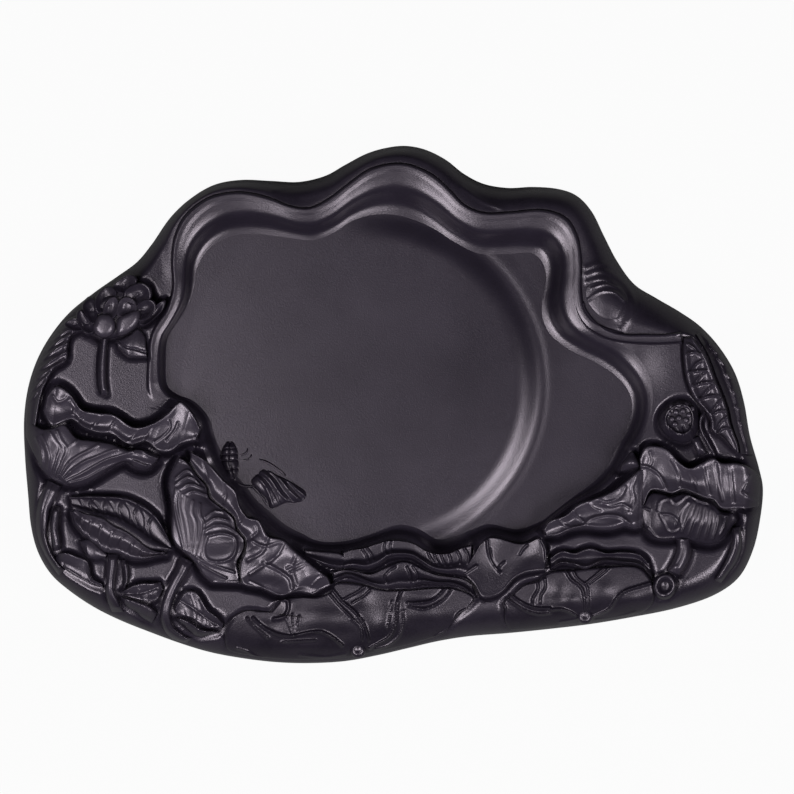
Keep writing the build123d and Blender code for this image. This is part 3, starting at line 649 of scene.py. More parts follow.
leaf("left_leaf_front",
     [(27, 421), (42, 429), (54, 428), (64, 425), (76, 438), (92, 441), (111, 444), (127, 450), (140, 450),
      (150, 453), (158, 456)],
     [(26, 437), (35, 456), (46, 474), (60, 483), (76, 485), (92, 480), (108, 470), (124, 462), (136, 468),
      (148, 469), (156, 462)],
     large_leaf_rise, outer_side, pleats=(7, 0.4), end_shares=(0.3, 0.5),
     lines=veins(0.9, 2, [(70, 483), (85, 479), (100, 471), (115, 464), (130, 460), (146, 466)],
           [(66, 481), (79, 475), (93, 467), (106, 460), (119, 456), (132, 452)],
           [(63, 479), (72, 470), (84, 462), (96, 457), (108, 452), (118, 449)],
           [(60, 477), (68, 464), (78, 456), (88, 451), (98, 445)],
           [(57, 475), (63, 460), (67, 449), (61, 440), (57, 431)])
         + veins(0.8, 2, [(53, 472), (57, 458), (60, 448), (55, 440), (50, 433)],
           [(48, 468), (49, 455), (45, 443), (42, 436)], [(42, 462), (41, 450), (36, 438)],
           [(131, 451), (140, 449), (148, 455), (157, 459)])
         + veins(0.8, 1.8, [(66, 449), (72, 444), (76, 441)])
         + veins(-1.0, 3, [(135, 459), (143, 462), (150, 463)]),
     hills=[(48, 455, 9, 16, 0.8), (82, 455, 12, 9, -0.5)])
leaf("left_leaf_stem",
     [(48, 480), (41, 493), (37, 508), (36, 523), (38, 538), (44, 553), (52, 566), (59, 576)],
     [(61, 486), (56, 499), (50, 510), (48, 522), (47, 536), (51, 551), (58, 562), (65, 569)],
     stem_rise, round_stem, hollow=stem_hollow,
     lines=veins(-0.35, 1.4, [(52, 484), (47, 497), (43, 510), (42, 523), (43, 538), (48, 552), (56, 565)]))
leaf("crumpled_leaf_1",
     [(54, 506), (51, 516), (50, 528), (51, 540), (53, 551)],
     [(60, 507), (59, 517), (58, 528), (60, 540), (60, 550)],
     small_leaf_rise, round_stem, pleats=(3, 0.4))
leaf("crumpled_leaf_2",
     [(58, 553), (67, 553), (76, 556), (87, 561), (91, 577), (102, 584)],
     [(55, 559), (63, 567), (74, 575), (85, 581), (92, 585), (103, 588)],
     small_leaf_rise, inner_side, pleats=(4, 0.6),
     lines=veins(0.5, 2, [(60, 566), (72, 572), (84, 580), (98, 587)]))
leaf("crumpled_leaf_3",
     [(80, 541), (90, 540), (107, 554)],
     [(84, 551), (91, 558), (105, 558)],
     2.6, petal_side, pleats=(3, 0.4))

# %% [markdown]
# ## The lower left leaf
# A smaller leaf, half open, stands under the large one, with two stems and small leaves at their foot.

# %% The lower left leaf
leaf("lower_leaf_back",
     [(70, 497), (85, 496), (102, 496), (123, 497), (135, 501), (146, 507), (157, 517), (165, 531),
      (172, 546)],
     [(72, 509), (84, 516), (98, 522), (112, 528), (124, 535), (136, 543), (147, 550), (158, 551),
      (170, 550)],
     small_leaf_rise, [(0, 1), (0.07, 1), (0.16, 0.45), (0.45, 0.1), (0.58, 0.2), (0.68, 0.75), (0.8, 0.95),
      (0.93, 0.85), (1, 0.5)], material=painted_shade_finish,
     lines=veins(0.6, 1.8, [(80, 499), (82, 503), (84, 508)], [(92, 499), (90, 505), (94, 511)],
           [(92, 500), (98, 506), (100, 513)], [(106, 499), (104, 507), (108, 515)],
           [(108, 500), (114, 508), (116, 517)], [(122, 500), (119, 509), (123, 520)],
           [(124, 501), (130, 510), (131, 522)], [(138, 505), (134, 515), (138, 526)],
           [(141, 508), (145, 518), (145, 532)], [(153, 516), (148, 525), (151, 538)]))
leaf("lower_leaf_front",
     [(76, 509), (84, 513), (94, 515), (104, 518), (114, 525), (125, 530), (135, 537), (145, 546),
      (155, 551), (164, 552)],
     [(71, 512), (75, 525), (85, 537), (95, 545), (105, 552), (118, 554), (130, 559), (143, 560),
      (155, 557), (166, 555)],
     4.8,
      [(0, 0.9), (0.08, 1.0), (0.2, 0.62), (0.38, 0.4), (0.58, 0.55), (0.78, 0.8), (0.9, 0.7), (1, 0.2)],
     pleats=(11, 0.35),
     lines=veins(0.7, 2.4, [(76, 511), (84, 515), (94, 517), (104, 521), (114, 528), (125, 533), (135, 540),
           (145, 549), (158, 552)])
         + veins(0.5, 1.8, [(82, 518), (80, 525), (84, 534)], [(91, 521), (88, 532), (92, 541)],
           [(101, 526), (98, 538), (101, 547)], [(112, 533), (108, 543), (110, 551)],
           [(123, 536), (119, 545), (119, 553)], [(133, 542), (129, 550), (130, 557)])
         + veins(0.4, 1.8, [(143, 549), (140, 554), (142, 558)]))
leaf("lower_leaf_stem",
     [(108, 554), (107, 566), (106, 579), (105, 591), (107, 601), (112, 612)],
     [(118, 554), (117, 566), (115, 579), (115, 591), (119, 601), (124, 612)],
     stem_rise, round_stem, hollow=stem_hollow)
leaf("lower_leaf_side_stem",
     [(122, 560), (124, 568), (125, 580), (123, 588)],
     [(125, 560), (128, 568), (128, 580), (126, 588)],
     thin_stem_rise, round_stem, hollow=stem_hollow)
leaf("small_leaf_left_1",
     [(121, 592), (127, 589), (134, 585), (143, 583), (152, 583), (160, 582)],
     [(122, 594), (128, 596), (137, 599), (148, 601), (157, 599), (163, 589)],
     small_leaf_rise, inner_side, pleats=(4, 0.4),
     lines=veins(-0.6, 2, [(124, 593), (140, 593), (156, 588)])
         + veins(0.4, 1.6, [(136, 586), (139, 592), (140, 599)], [(147, 583), (149, 591), (150, 600)]))
leaf("small_leaf_left_2",
     [(121, 597), (130, 599), (139, 602), (149, 606), (157, 613)],
     [(121, 600), (127, 607), (136, 612), (143, 618), (152, 623)],
     small_leaf_rise, outer_side, pleats=(4, 0.3),
     lines=veins(0.4, 1.6, [(132, 600), (130, 604), (130, 608)], [(142, 604), (140, 609), (140, 614)],
           [(151, 608), (149, 614), (149, 619)]))

# %% [markdown]
# ## The centre leaf
# This leaf hangs from its stem along the basin, its outer side to the left and its inner side to the
# right, and ends in a tongue that points at the basin.

# %% The centre leaf
leaf("centre_leaf_front",
     [(179, 457), (172, 470), (169, 483), (171, 496), (173, 509), (172, 522), (172, 534), (176, 544),
      (186, 553), (197, 564), (204, 575), (214, 583)],
     [(188, 463), (197, 476), (206, 486), (209, 498), (220, 507), (233, 518), (236, 530), (244, 540),
      (243, 551), (237, 562), (238, 571), (240, 583)],
     large_leaf_rise, outer_side, pleats=(5, 0.3), end_shares=(0.5, 0.4),
     lines=veins(0.9, 1.8, [(176, 489), (174, 502), (176, 516), (180, 532), (184, 550)],
           [(180, 492), (179, 505), (182, 520), (185, 535), (187, 551)],
           [(186, 497), (185, 509), (188, 522), (190, 538), (190, 552)],
           [(193, 501), (192, 512), (196, 523), (196, 538), (193, 554)],
           [(200, 504), (200, 514), (204, 524), (202, 538), (197, 556)],
           [(178, 490), (190, 484), (203, 488)], [(183, 495), (194, 491), (207, 495)])
         + veins(0.8, 1.8, [(176, 478), (184, 471), (190, 471), (195, 477)],
           [(176, 484), (186, 477), (193, 478), (199, 483)], [(206, 517), (214, 511), (223, 512)],
           [(205, 524), (215, 518), (228, 520)], [(205, 530), (215, 525), (226, 526), (236, 532)])
         + veins(0.9, 2.1, [(207, 536), (221, 533), (234, 537), (236, 548), (231, 558), (219, 562),
           (207, 559), (204, 548), (207, 536)])
         + veins(0.7, 1.8, [(196, 557), (208, 563), (222, 568), (234, 572)],
           [(198, 562), (210, 570), (226, 578)])
         + veins(0.8, 2.4, [(178, 458), (188, 463), (197, 475), (207, 487), (210, 498), (221, 507),
           (233, 518), (237, 530), (244, 540), (242, 552), (237, 563), (239, 578)]),
     hills=[(220, 547, 13, 11, -0.6), (186, 510, 8, 22, 0.9), (216, 523, 9, 8, 0.7)])
leaf("centre_leaf_back",
     [(191, 452), (203, 459), (214, 470), (224, 481), (235, 491), (239, 505), (247, 517), (259, 521),
      (268, 536), (283, 540), (294, 550), (307, 561), (318, 570), (327, 577), (331, 585)],
     [(190, 461), (199, 475), (208, 485), (212, 497), (222, 506), (234, 516), (238, 528), (246, 539),
      (246, 551), (241, 565), (243, 583), (262, 588), (280, 595), (297, 591), (313, 594)],
     large_leaf_rise, inner_side, pleats=(9, 0.5), end_shares=(0.5, 0.5),
     lines=veins(0.8, 2.2, [(253, 541), (260, 545), (267, 546), (276, 543), (281, 542)])
         + veins(0.9, 2.6, [(263, 563), (273, 567), (283, 573), (290, 579), (292, 588)])
         + veins(0.6, 2, [(287, 568), (296, 564), (305, 559)], [(290, 572), (299, 568), (308, 563)],
           [(312, 585), (320, 578), (329, 576)])
         + veins(0.5, 1.8, [(250, 581), (262, 587), (270, 594), (280, 596)])
         + veins(-0.5, 2, [(203, 461), (206, 470), (208, 482)])
         + veins(-0.6, 2.2, [(224, 483), (226, 492), (224, 503)], [(240, 506), (244, 514), (238, 524)])
         + veins(-0.7, 2.4, [(256, 523), (258, 532), (248, 540)])
         + veins(-0.8, 2.6, [(268, 538), (262, 552), (248, 560)])
         + veins(-0.7, 2.6, [(284, 543), (276, 556), (262, 566), (250, 574)])
         + veins(-0.6, 2.4, [(297, 553), (292, 568), (296, 584)]),
     hills=[(262, 551, 14, 7, 1.1), (272, 584, 12, 7, 1.0), (310, 576, 9, 9, 1.1), (286, 566, 8, 8, -0.8),
         (240, 510, 7, 10, 0.5)])
leaf("centre_leaf_stem",
     [(181, 556), (177, 569), (170, 581), (165, 592), (161, 605), (160, 617), (163, 628), (169, 636),
      (178, 641), (187, 643)],
     [(193, 562), (187, 573), (181, 583), (176, 593), (172, 605), (171, 617), (174, 626), (180, 632),
      (186, 636), (192, 638)],
     stem_rise, round_stem, hollow=(1.4, 5),
     lines=veins(-0.4, 1.6, [(186, 562), (181, 572), (175, 583), (170, 594), (166, 606), (166, 617),
           (169, 628), (176, 634), (184, 639)]))
leaf("small_leaf_right_1",
     [(175, 609), (180, 599), (187, 591), (197, 593), (207, 609), (217, 617), (223, 624)],
     [(177, 614), (184, 616), (192, 618), (200, 624), (208, 628), (216, 628), (222, 629)],
     small_leaf_rise, inner_side, pleats=(4, 0.4),
     lines=veins(-0.6, 2, [(180, 600), (190, 606), (204, 616), (216, 624)])
         + veins(0.4, 1.6, [(190, 594), (194, 604), (196, 618)], [(200, 600), (205, 612), (206, 624)]))
leaf("small_leaf_right_2",
     [(176, 618), (184, 619), (192, 623), (201, 629), (210, 631), (218, 631)],
     [(175, 620), (183, 626), (191, 633), (200, 637), (210, 635), (219, 633)],
     small_leaf_rise, outer_side, pleats=(4, 0.3),
     lines=veins(0.4, 1.6, [(186, 620), (186, 624), (188, 629)], [(196, 625), (196, 629), (198, 634)],
           [(206, 630), (205, 633), (206, 636)]))

# %% [markdown]
# ## Two pond creatures
# An insect and a shrimp rest on the grinding face beside the centre leaf.

# %% Two pond creatures
leaf("pond_insect",
     [(226, 441), (221, 450), (220, 460), (224, 471), (232, 481)],
     [(234, 441), (238, 450), (239, 460), (239, 471), (237, 481)],
     stem_rise, round_stem, floor=face_top,
     lines=veins(-0.8, 1.3, [(230, 442), (229, 452), (230, 464), (234, 478)])
         + veins(-0.6, 1.2, [(222, 449), (238, 448)], [(221, 455), (239, 454)], [(221, 461), (239, 460)],
           [(225, 470), (239, 468)]))
for number, (back, front) in enumerate([
        ([(238, 455), (245, 452), (247, 446)], [(239, 457), (247, 454), (249, 447)]),
        ([(239, 460), (248, 458), (251, 453)], [(239, 462), (250, 460), (253, 453)]),
        ([(235, 480), (244, 484), (256, 483), (263, 472)],
         [(236, 483), (244, 488), (258, 486), (266, 474)])], 1):
    leaf(f"feeler_{number}", back, front, 1.0, round_stem, floor=face_top, rounding=1,
         node="pond_insect")
patch("shrimp_body",
      [(251, 481), (257, 474), (264, 469), (274, 473), (286, 479), (297, 485), (306, 492), (304, 500),
       (295, 503), (286, 503), (277, 507), (270, 508), (267, 500), (262, 494), (256, 489)],
      (280, 490), 2.9, [(0, 0.25), (0.2, 0.7), (0.5, 0.95), (1, 1)], node="pond_shrimp", floor=face_top,
      rows=34, turns=200, rounding=1.5,
      lines=veins(0.8, 2.2, [(257, 477), (264, 484), (269, 494), (273, 506)],
            [(262, 472), (271, 480), (278, 491), (287, 501)],
            [(270, 472), (280, 479), (288, 489), (298, 499)],
            [(280, 477), (290, 483), (298, 490), (305, 496)])
          + veins(-0.7, 1.8, [(259, 474), (267, 481), (274, 492), (280, 504)],
            [(266, 470), (276, 479), (283, 490), (293, 501)],
            [(275, 474), (286, 481), (294, 490), (302, 498)]))
for number, (back, front) in enumerate([
        ([(258, 458), (268, 461), (279, 468), (288, 476)], [(258, 460), (267, 464), (278, 471), (286, 478)]),
        ([(250, 484), (257, 488), (263, 496), (268, 503)],
         [(248, 486), (255, 491), (261, 498), (266, 506)])], 1):
    leaf(f"shrimp_leg_{number}", back, front, 1.5, round_stem, floor=face_top, rounding=1,
         node="pond_shrimp")

# %% [markdown]
# ## The front ruffles
# Leaf margins seen edge on run along the front of the basin as thin, wavy bands.

# %% The front ruffles
leaf("rolled_leaf_tip",
     [(304, 550), (315, 551), (328, 552), (338, 553), (345, 556)],
     [(306, 556), (316, 561), (328, 566), (339, 568), (346, 567)],
     small_leaf_rise, [(0, 0.4), (0.4, 0.35), (0.65, 0.7), (0.85, 1), (1, 0.75)], end_shares=(0.5, 0.8),
     hollow=(1.6, 4), material=painted_shade_finish)
leaf("front_upper_ruffle",
     [(343, 553), (352, 550), (364, 548), (376, 544), (388, 541), (401, 541), (414, 544), (426, 551),
      (438, 554), (450, 553), (462, 548), (472, 545)],
     [(344, 568), (354, 567), (366, 569), (378, 565), (388, 558), (400, 556), (412, 557), (422, 563),
      (433, 570), (446, 573), (458, 573), (470, 577)],
     ruffle_rise, [(0, 0.5), (0.12, 0.35), (0.5, 0.3), (0.66, 0.6), (0.82, 1), (1, 0.72)],
     end_shares=(0.8, 0.5), material=painted_shade_finish,
     lines=veins(0.7, 1.7, [(362, 549), (366, 555), (368, 561)], [(367, 548), (371, 554), (373, 560)],
           [(385, 543), (384, 549), (386, 554)], [(391, 542), (390, 548), (392, 553)])
         + veins(0.8, 1.7, [(428, 552), (430, 557), (434, 562)], [(434, 554), (436, 559), (439, 564)],
           [(441, 555), (443, 560), (445, 565)], [(449, 554), (451, 560), (451, 565)],
           [(457, 551), (460, 557), (460, 563)], [(464, 548), (468, 555), (468, 563)]))
leaf("front_lower_ruffle",
     [(333, 572), (346, 570), (358, 572), (371, 574), (385, 568), (400, 562), (411, 563), (422, 569),
      (437, 575), (451, 577), (463, 579), (472, 584)],
     [(333, 581), (347, 575), (358, 578), (371, 584), (384, 588), (398, 586), (411, 586), (424, 583),
      (438, 584), (452, 584), (464, 589), (476, 599)],
     3.4, [(0, 0.5), (0.3, 0.35), (0.6, 0.55), (0.82, 1), (1, 0.75)], end_shares=(0.5, 0.6),
     hollow=(1.6, 5), material=painted_shade_finish,
     lines=veins(0.9, 1.8, [(386, 582), (385, 576), (389, 571), (395, 567)],
           [(407, 567), (410, 574), (411, 581)])
         + veins(0.7, 1.8, [(413, 567), (417, 573), (418, 579)]))
leaf("panel_leaf",
     [(480, 545), (488, 538), (498, 538), (508, 541), (519, 544), (530, 542), (541, 538), (547, 550)],
     [(462, 572), (474, 584), (483, 597), (500, 593), (513, 579), (524, 573), (535, 571), (545, 570)],
     ruffle_rise, [(0, 0.95), (0.1, 0.8), (0.5, 0.55), (0.85, 0.75), (1, 0.9)], end_shares=(0.6, 0.6),
     hollow=(1.8, 6), material=painted_shade_finish,
     lines=veins(1.0, 2, [(487, 541), (489, 554), (494, 565), (500, 572)])
         + veins(-0.8, 2, [(490, 549), (492, 560), (499, 570)])
         + veins(0.8, 1.8, [(499, 571), (500, 566), (504, 562)], [(520, 554), (523, 549), (527, 545)])
         + veins(0.9, 1.8, [(541, 540), (545, 549), (546, 560)])
         + veins(0.8, 2, [(476, 566), (470, 570), (464, 574)]))
leaf("front_right_ruffle",
     [(550, 558), (562, 551), (575, 553), (590, 548), (606, 553), (622, 552), (638, 554), (649, 563)],
     [(551, 569), (561, 564), (573, 565), (586, 569), (604, 561), (622, 563), (640, 566), (652, 578)],
     ruffle_rise, [(0, 0.8), (0.12, 0.7), (0.45, 0.3), (0.7, 0.5), (0.88, 1), (1, 0.7)], pleats=(9, 0.35),
     end_shares=(0.5, 0.5), material=painted_shade_finish)
patch("curled_bud",
      [(656, 577), (662, 573), (669, 573), (675, 578), (677, 586), (674, 594), (668, 599), (660, 599),
       (655, 594), (653, 585)],
      (665, 586), 3.4, [(0, 0.5), (0.2, 1), (0.42, 0.85), (0.65, 0.3), (1, 0.15)], rows=24, turns=90,
      hollow=(1, 4), material=painted_shade_finish)

# %% [markdown]
# ## The right leaf
# A long wing lies by the basin, and the leaf itself opens like a shell to the right.

# %% The right leaf
leaf("right_leaf_wing",
     [(544, 529), (550, 521), (566, 515), (579, 504), (596, 498), (613, 491), (626, 481), (638, 471),
      (646, 466), (652, 467)],
     [(546, 536), (557, 536), (569, 531), (585, 528), (602, 530), (614, 529), (625, 526), (635, 528),
      (643, 524), (648, 514)],
     6.0, [(0, 0.9), (0.06, 1), (0.25, 0.8), (0.5, 0.6), (0.75, 0.66), (0.9, 0.8), (1, 0.6)],
     pleats=(5, 0.4), end_shares=(0.25, 0.1),
     lines=veins(0.9, 2.4, [(574, 527), (582, 526), (591, 519), (601, 516), (611, 515), (621, 517),
           (630, 524)], [(598, 499), (606, 502), (615, 500), (622, 494), (625, 487)])
         + veins(0.7, 2, [(573, 510), (577, 516), (583, 521)])
         + veins(0.6, 2, [(602, 504), (612, 506), (622, 504), (630, 508)],
           [(557, 518), (563, 524), (571, 528)], [(588, 502), (593, 508), (600, 511)])
         + veins(0.5, 2.4, [(636, 476), (632, 488), (634, 500), (630, 512)]),
     hills=[(600, 520, 14, 6, 0.8), (575, 518, 10, 7, -0.5), (618, 492, 9, 7, 0.6)])
leaf("right_leaf_back",
     [(640, 458), (646, 447), (657, 446), (668, 450), (679, 462), (690, 468), (702, 463), (713, 458),
      (722, 463), (736, 463), (749, 467), (761, 476)],
     [(643, 506), (650, 491), (660, 490), (672, 493), (683, 489), (693, 492), (704, 497), (714, 500),
      (722, 508), (736, 508), (748, 508), (759, 506)],
     large_leaf_rise, inner_side, pleats=(5, 0.35), end_shares=(0.92, 0.6), hollow=(3, 7),
     lines=veins(0.8, 2.2, [(641, 466), (648, 467), (655, 471), (660, 476), (664, 483), (666, 488)])
         + veins(0.7, 2, [(743, 492), (747, 484), (750, 476)], [(743, 492), (751, 498), (758, 502)])
         + veins(0.6, 2.2, [(672, 460), (678, 472), (680, 486)], [(703, 466), (706, 478), (710, 494)],
           [(730, 466), (732, 482), (734, 502)])
         + veins(-0.6, 2.4, [(690, 472), (694, 480), (698, 491)])
         + veins(-0.7, 2.6, [(716, 463), (718, 480), (722, 500)])
         + veins(-0.5, 2, [(650, 452), (652, 460), (650, 466)]),
     hills=[(655, 468, 10, 9, 0.9), (690, 482, 14, 8, -0.8), (716, 482, 11, 12, 0.7),
         (748, 486, 8, 12, 0.6)])
leaf("right_leaf_shell",
     [(641, 510), (650, 495), (660, 494), (672, 497), (684, 494), (694, 497), (705, 501), (714, 506),
      (722, 512), (733, 513)],
     [(645, 528), (651, 536), (661, 539), (675, 539), (688, 540), (700, 543), (712, 544), (722, 539),
      (730, 529), (737, 520)],
     large_leaf_rise, outer_side, pleats=(7, 0.2), end_shares=(0.4, 0.2), material=painted_shade_finish,
     lines=veins(0.8, 2, [(658, 510), (660, 502), (665, 499), (671, 499), (675, 503), (680, 501),
           (686, 496), (691, 495), (698, 500), (705, 502), (712, 503), (717, 508), (721, 514), (728, 516)])
         + veins(0.6, 1.8, [(660, 514), (671, 515), (678, 521), (680, 528), (675, 532), (668, 531),
           (664, 523), (660, 514)])
         + veins(0.5, 1.8, [(636, 514), (638, 509), (644, 508), (650, 510)])
         + veins(0.6, 2, [(648, 528), (655, 536), (661, 539), (673, 538)])
         + veins(0.8, 1.8, [(688, 502), (680, 512), (676, 526)], [(694, 502), (690, 514), (682, 532)],
           [(700, 505), (697, 517), (690, 535)], [(706, 507), (704, 520), (698, 538)],
           [(712, 510), (710, 524), (706, 539)], [(719, 515), (717, 527), (713, 539)])
         + veins(0.6, 1.6, [(726, 518), (724, 527), (720, 535)]),
     hills=[(670, 520, 8, 9, 0.7), (700, 518, 10, 10, 0.8)])
leaf("right_leaf_stem",
     [(677, 538), (677, 550), (673, 561), (667, 571)],
     [(690, 539), (691, 552), (687, 564), (680, 575)],
     stem_rise, round_stem, end_shares=(0.9, 0.5), hollow=(1.4, 5),
     lines=veins(-0.35, 1.6, [(682, 541), (682, 553), (677, 564)]))
leaf("outer_right_stem",
     [(733, 528), (732, 544), (727, 558), (720, 571), (714, 580)],
     [(741, 526), (742, 545), (737, 561), (728, 574), (721, 583)],
     stem_rise, round_stem, hollow=stem_hollow,
     lines=veins(-0.3, 1.4, [(737, 530), (737, 546), (732, 560), (724, 573)]))
leaf("basin_petal",
     [(631, 452), (627, 458), (622, 465), (621, 471)],
     [(634, 453), (638, 460), (640, 466), (637, 470)],
     4.6, petal_side)

# %% [markdown]
# ## The edge leaf and the reeds on the right
# A narrow leaf follows the right edge in two halves along its midrib.

# %% The edge leaf and the reeds on the right
leaf("pod_stem",
     [(691, 439), (694, 446), (698, 455)],
     [(699, 436), (703, 445), (708, 454)],
     thin_stem_rise, round_stem, hollow=stem_hollow)
leaf("pond_reed",
     [(703, 411), (699, 420), (700, 431), (706, 442), (713, 456)],
     [(706, 412), (702, 421), (703, 430), (709, 441), (716, 455)],
     thin_stem_rise, round_stem, hollow=stem_hollow)
leaf("right_edge_leaf_inner",
     [(684, 338), (684, 352), (685, 365), (687, 378), (691, 390), (697, 401), (705, 410), (711, 420),
      (712, 430), (721, 436), (732, 447)],
     [(692, 336), (703, 352), (709, 364), (714, 377), (719, 389), (724, 401), (727, 411), (729, 421),
      (733, 432), (737, 443), (739, 453)],
     edge_leaf_rise, [(0, 0.9), (0.1, 1), (0.3, 0.5), (0.7, 0.45), (0.9, 0.95), (1, 0.9)],
     end_shares=(0.3, 0.6), hollow=(1.6, 5),
     lines=veins(1.0, 1.8, [(688, 344), (694, 348), (699, 354)], [(687, 354), (694, 352), (700, 354)],
           [(690, 372), (698, 371), (706, 370)], [(706, 371), (700, 377), (693, 385)],
           [(714, 384), (707, 391), (700, 399)], [(722, 399), (716, 406), (711, 413)],
           [(712, 415), (719, 411), (726, 411)], [(728, 416), (721, 422), (716, 430)],
           [(718, 432), (725, 428), (732, 430)])
         + veins(1.1, 1.9, [(701, 361), (696, 364), (690, 372)], [(694, 386), (703, 383), (713, 382)],
           [(700, 399), (710, 396), (720, 396)]))
leaf("right_edge_leaf_outer",
     [(696, 334), (706, 350), (712, 363), (717, 377), (722, 389), (727, 402), (730, 412), (732, 422),
      (735, 432), (739, 443), (741, 454)],
     [(703, 331), (720, 350), (729, 365), (736, 379), (741, 392), (744, 404), (746, 415), (748, 426),
      (750, 437), (752, 446), (754, 455)],
     edge_leaf_rise, [(0, 0.7), (0.12, 0.2), (0.35, 0.05), (0.6, 0.75), (0.8, 0.95), (1, 0.3)],
     end_shares=(0.3, 0.6), hollow=(1.2, 5),
     lines=veins(0.7, 1.6, [(709, 344), (713, 350), (717, 352)], [(718, 358), (723, 363), (727, 366)],
           [(726, 374), (731, 378), (735, 380)], [(732, 390), (736, 393), (741, 394)],
           [(736, 406), (741, 409), (745, 409)], [(740, 422), (744, 425), (748, 425)]))

# %% [markdown]
# ## The flower stem and the fallen petal
# The lotus stands on a stem, and one petal has dropped beside it.

# %% The flower stem and the fallen petal
leaf("flower_stem",
     [(102, 336), (101, 345), (99, 362), (99, 380), (101, 395)],
     [(108, 336), (107, 345), (106, 362), (106, 380), (108, 395)],
     stem_rise, round_stem, hollow=stem_hollow)
leaf("fallen_petal",
     [(117, 342), (124, 338), (131, 334), (138, 329), (145, 337)],
     [(118, 347), (124, 353), (131, 357), (140, 357), (147, 357)],
     2.6, petal_side,
     lines=veins(-0.7, 1.8, [(120, 342), (126, 347), (135, 349), (145, 352)]))

# %% [markdown]
# ## Two round leaves over the front shoulder
# They lie flat on the stone like wet paper, so only their thin edge, their veins and their hub stand
# out. Each is a round net that follows the shoulder, with the veins as ridges that meet at the hub.

# %% Front leaves
skin_side = [(0, 0.7), (0.05, 1), (0.5, 1), (1, 1)]


def raised(lines):
    """The veins of these two leaves stand half as high again as those of the others."""
    return [(line, 1.5 * high, wide) for line, high, wide in lines]


def front_fall(places):
    """The round leaves lean forward before the shoulder turns down."""
    return -0.0013 * ease((places[..., 1] - 572) / 36)


front_left_veins = (
    veins(0.9, 2.2, [(225, 640), (226, 629), (231, 620), (238, 612), (249, 608), (259, 610), (269, 608),
        (276, 602)], [(253, 618), (265, 628), (278, 634), (290, 636), (297, 635), (312, 632), (322, 632),
        (332, 637), (342, 645)])
    + veins(0.9, 2.4, [(277, 600), (287, 600), (288, 610), (283, 617), (274, 619)])
    + veins(0.7, 2, [(247, 618), (255, 627), (268, 638)])
    + veins(0.6, 1.8, [(283, 642), (300, 641), (315, 640)], [(344, 599), (357, 592), (368, 584)],
        [(375, 649), (388, 645), (399, 636), (403, 623), (403, 611)],
        [(408, 606), (423, 609), (435, 605), (444, 599), (451, 590), (456, 585)])
    + veins(0.5, 1.6, [(285, 616), (289, 625), (293, 636)], [(292, 614), (293, 625), (294, 636)],
        [(299, 616), (297, 626), (295, 636)], [(352, 603), (362, 597), (370, 590)])
    + veins(0.9, 1.9, [(331, 587), (342, 601), (355, 612), (364, 625), (369, 640)])
    + veins(0.7, 1.8, [(328, 592), (340, 606), (352, 618), (361, 628), (362, 640)])
    + veins(0.9, 2, [(370, 648), (381, 642), (390, 636), (396, 623), (397, 609), (398, 600), (402, 590),
        (407, 586)])
    + veins(0.5, 1.7, [(392, 601), (390, 615), (387, 628)])
    + veins(0.8, 2, [(408, 603), (415, 603), (430, 601), (438, 596), (446, 587)])
    + veins(0.8, 2.2, [(479, 604), (467, 609), (458, 614), (453, 623), (446, 631), (435, 637)])
    + veins(0.6, 2, [(237, 648), (247, 651), (255, 656), (264, 659)])
    + veins(0.4, 2, [(300, 655), (325, 657), (345, 654)]))
front_left_swells = [
    (322, 618, 24, 12, 1.1), (362, 598, 11, 10, -0.8), (386, 622, 11, 15, 0.9), (424, 614, 18, 9, 0.7),
    (268, 626, 16, 7, -0.7), (300, 646, 26, 5, 0.5), (345, 634, 12, 8, -0.6), (288, 603, 8, 6, 0.6),
    (420, 596, 18, 5, -0.6)]
patch("front_left_leaf",
      [(228, 650), (225, 640), (226, 629), (233, 618), (244, 611), (256, 611), (270, 612), (282, 600),
       (300, 597), (316, 597), (330, 592), (337, 583), (358, 584), (384, 590), (411, 590), (438, 588),
       (460, 590), (474, 598), (466, 609), (454, 620), (446, 631), (434, 637), (408, 645), (378, 652),
       (345, 658), (310, 660), (276, 659), (246, 655)],
      (340, 622), 1.5, skin_side, raised(front_left_veins), rows=95, turns=900,
      lift=lambda at: front_fall(at) + swells(at, front_left_swells), hollow=(1.5, 6),
      material=painted_shade_finish)
front_right_veins = (
    veins(0.8, 2, [(511, 595), (521, 602), (532, 607), (540, 608), (550, 608)],
        [(550, 610), (560, 609), (568, 611), (576, 615)],
        [(585, 611), (584, 595), (580, 586), (571, 579), (566, 571)])
    + veins(0.7, 1.8, [(505, 597), (515, 604), (527, 611), (540, 614), (550, 613)],
        [(537, 580), (538, 589), (533, 598), (532, 606)], [(586, 583), (596, 575), (604, 568)])
    + veins(0.6, 1.8, [(545, 579), (545, 588), (541, 595), (540, 603)],
        [(588, 608), (588, 591), (586, 585), (578, 579), (573, 571)])
    + veins(0.6, 1.7, [(590, 583), (601, 575), (609, 568)])
    + veins(0.9, 2, [(592, 617), (609, 609), (616, 599), (625, 591), (640, 586), (650, 583)])
    + veins(0.8, 2.2, [(500, 602), (505, 608), (502, 618), (504, 627), (514, 631)])
    + veins(0.5, 2, [(560, 622), (572, 620), (580, 618)], [(596, 620), (615, 618), (635, 612)]))
front_right_swells = [
    (602, 590, 13, 9, 0.9), (559, 590, 10, 9, -0.7), (520, 611, 9, 9, -0.6), (632, 600, 12, 7, 0.7),
    (570, 600, 8, 6, 0.5)]
patch("front_right_leaf",
      [(515, 630), (505, 622), (505, 610), (504, 602), (513, 594), (524, 585), (538, 581), (551, 572),
       (575, 570), (606, 567), (637, 567), (650, 579), (654, 592), (652, 604), (640, 613), (620, 617),
       (590, 622), (550, 627)],
      (580, 598), 1.5, skin_side, raised(front_right_veins), rows=80, turns=700,
      lift=lambda at: front_fall(at) + swells(at, front_right_swells), hollow=(1.5, 6),
      material=painted_shade_finish)

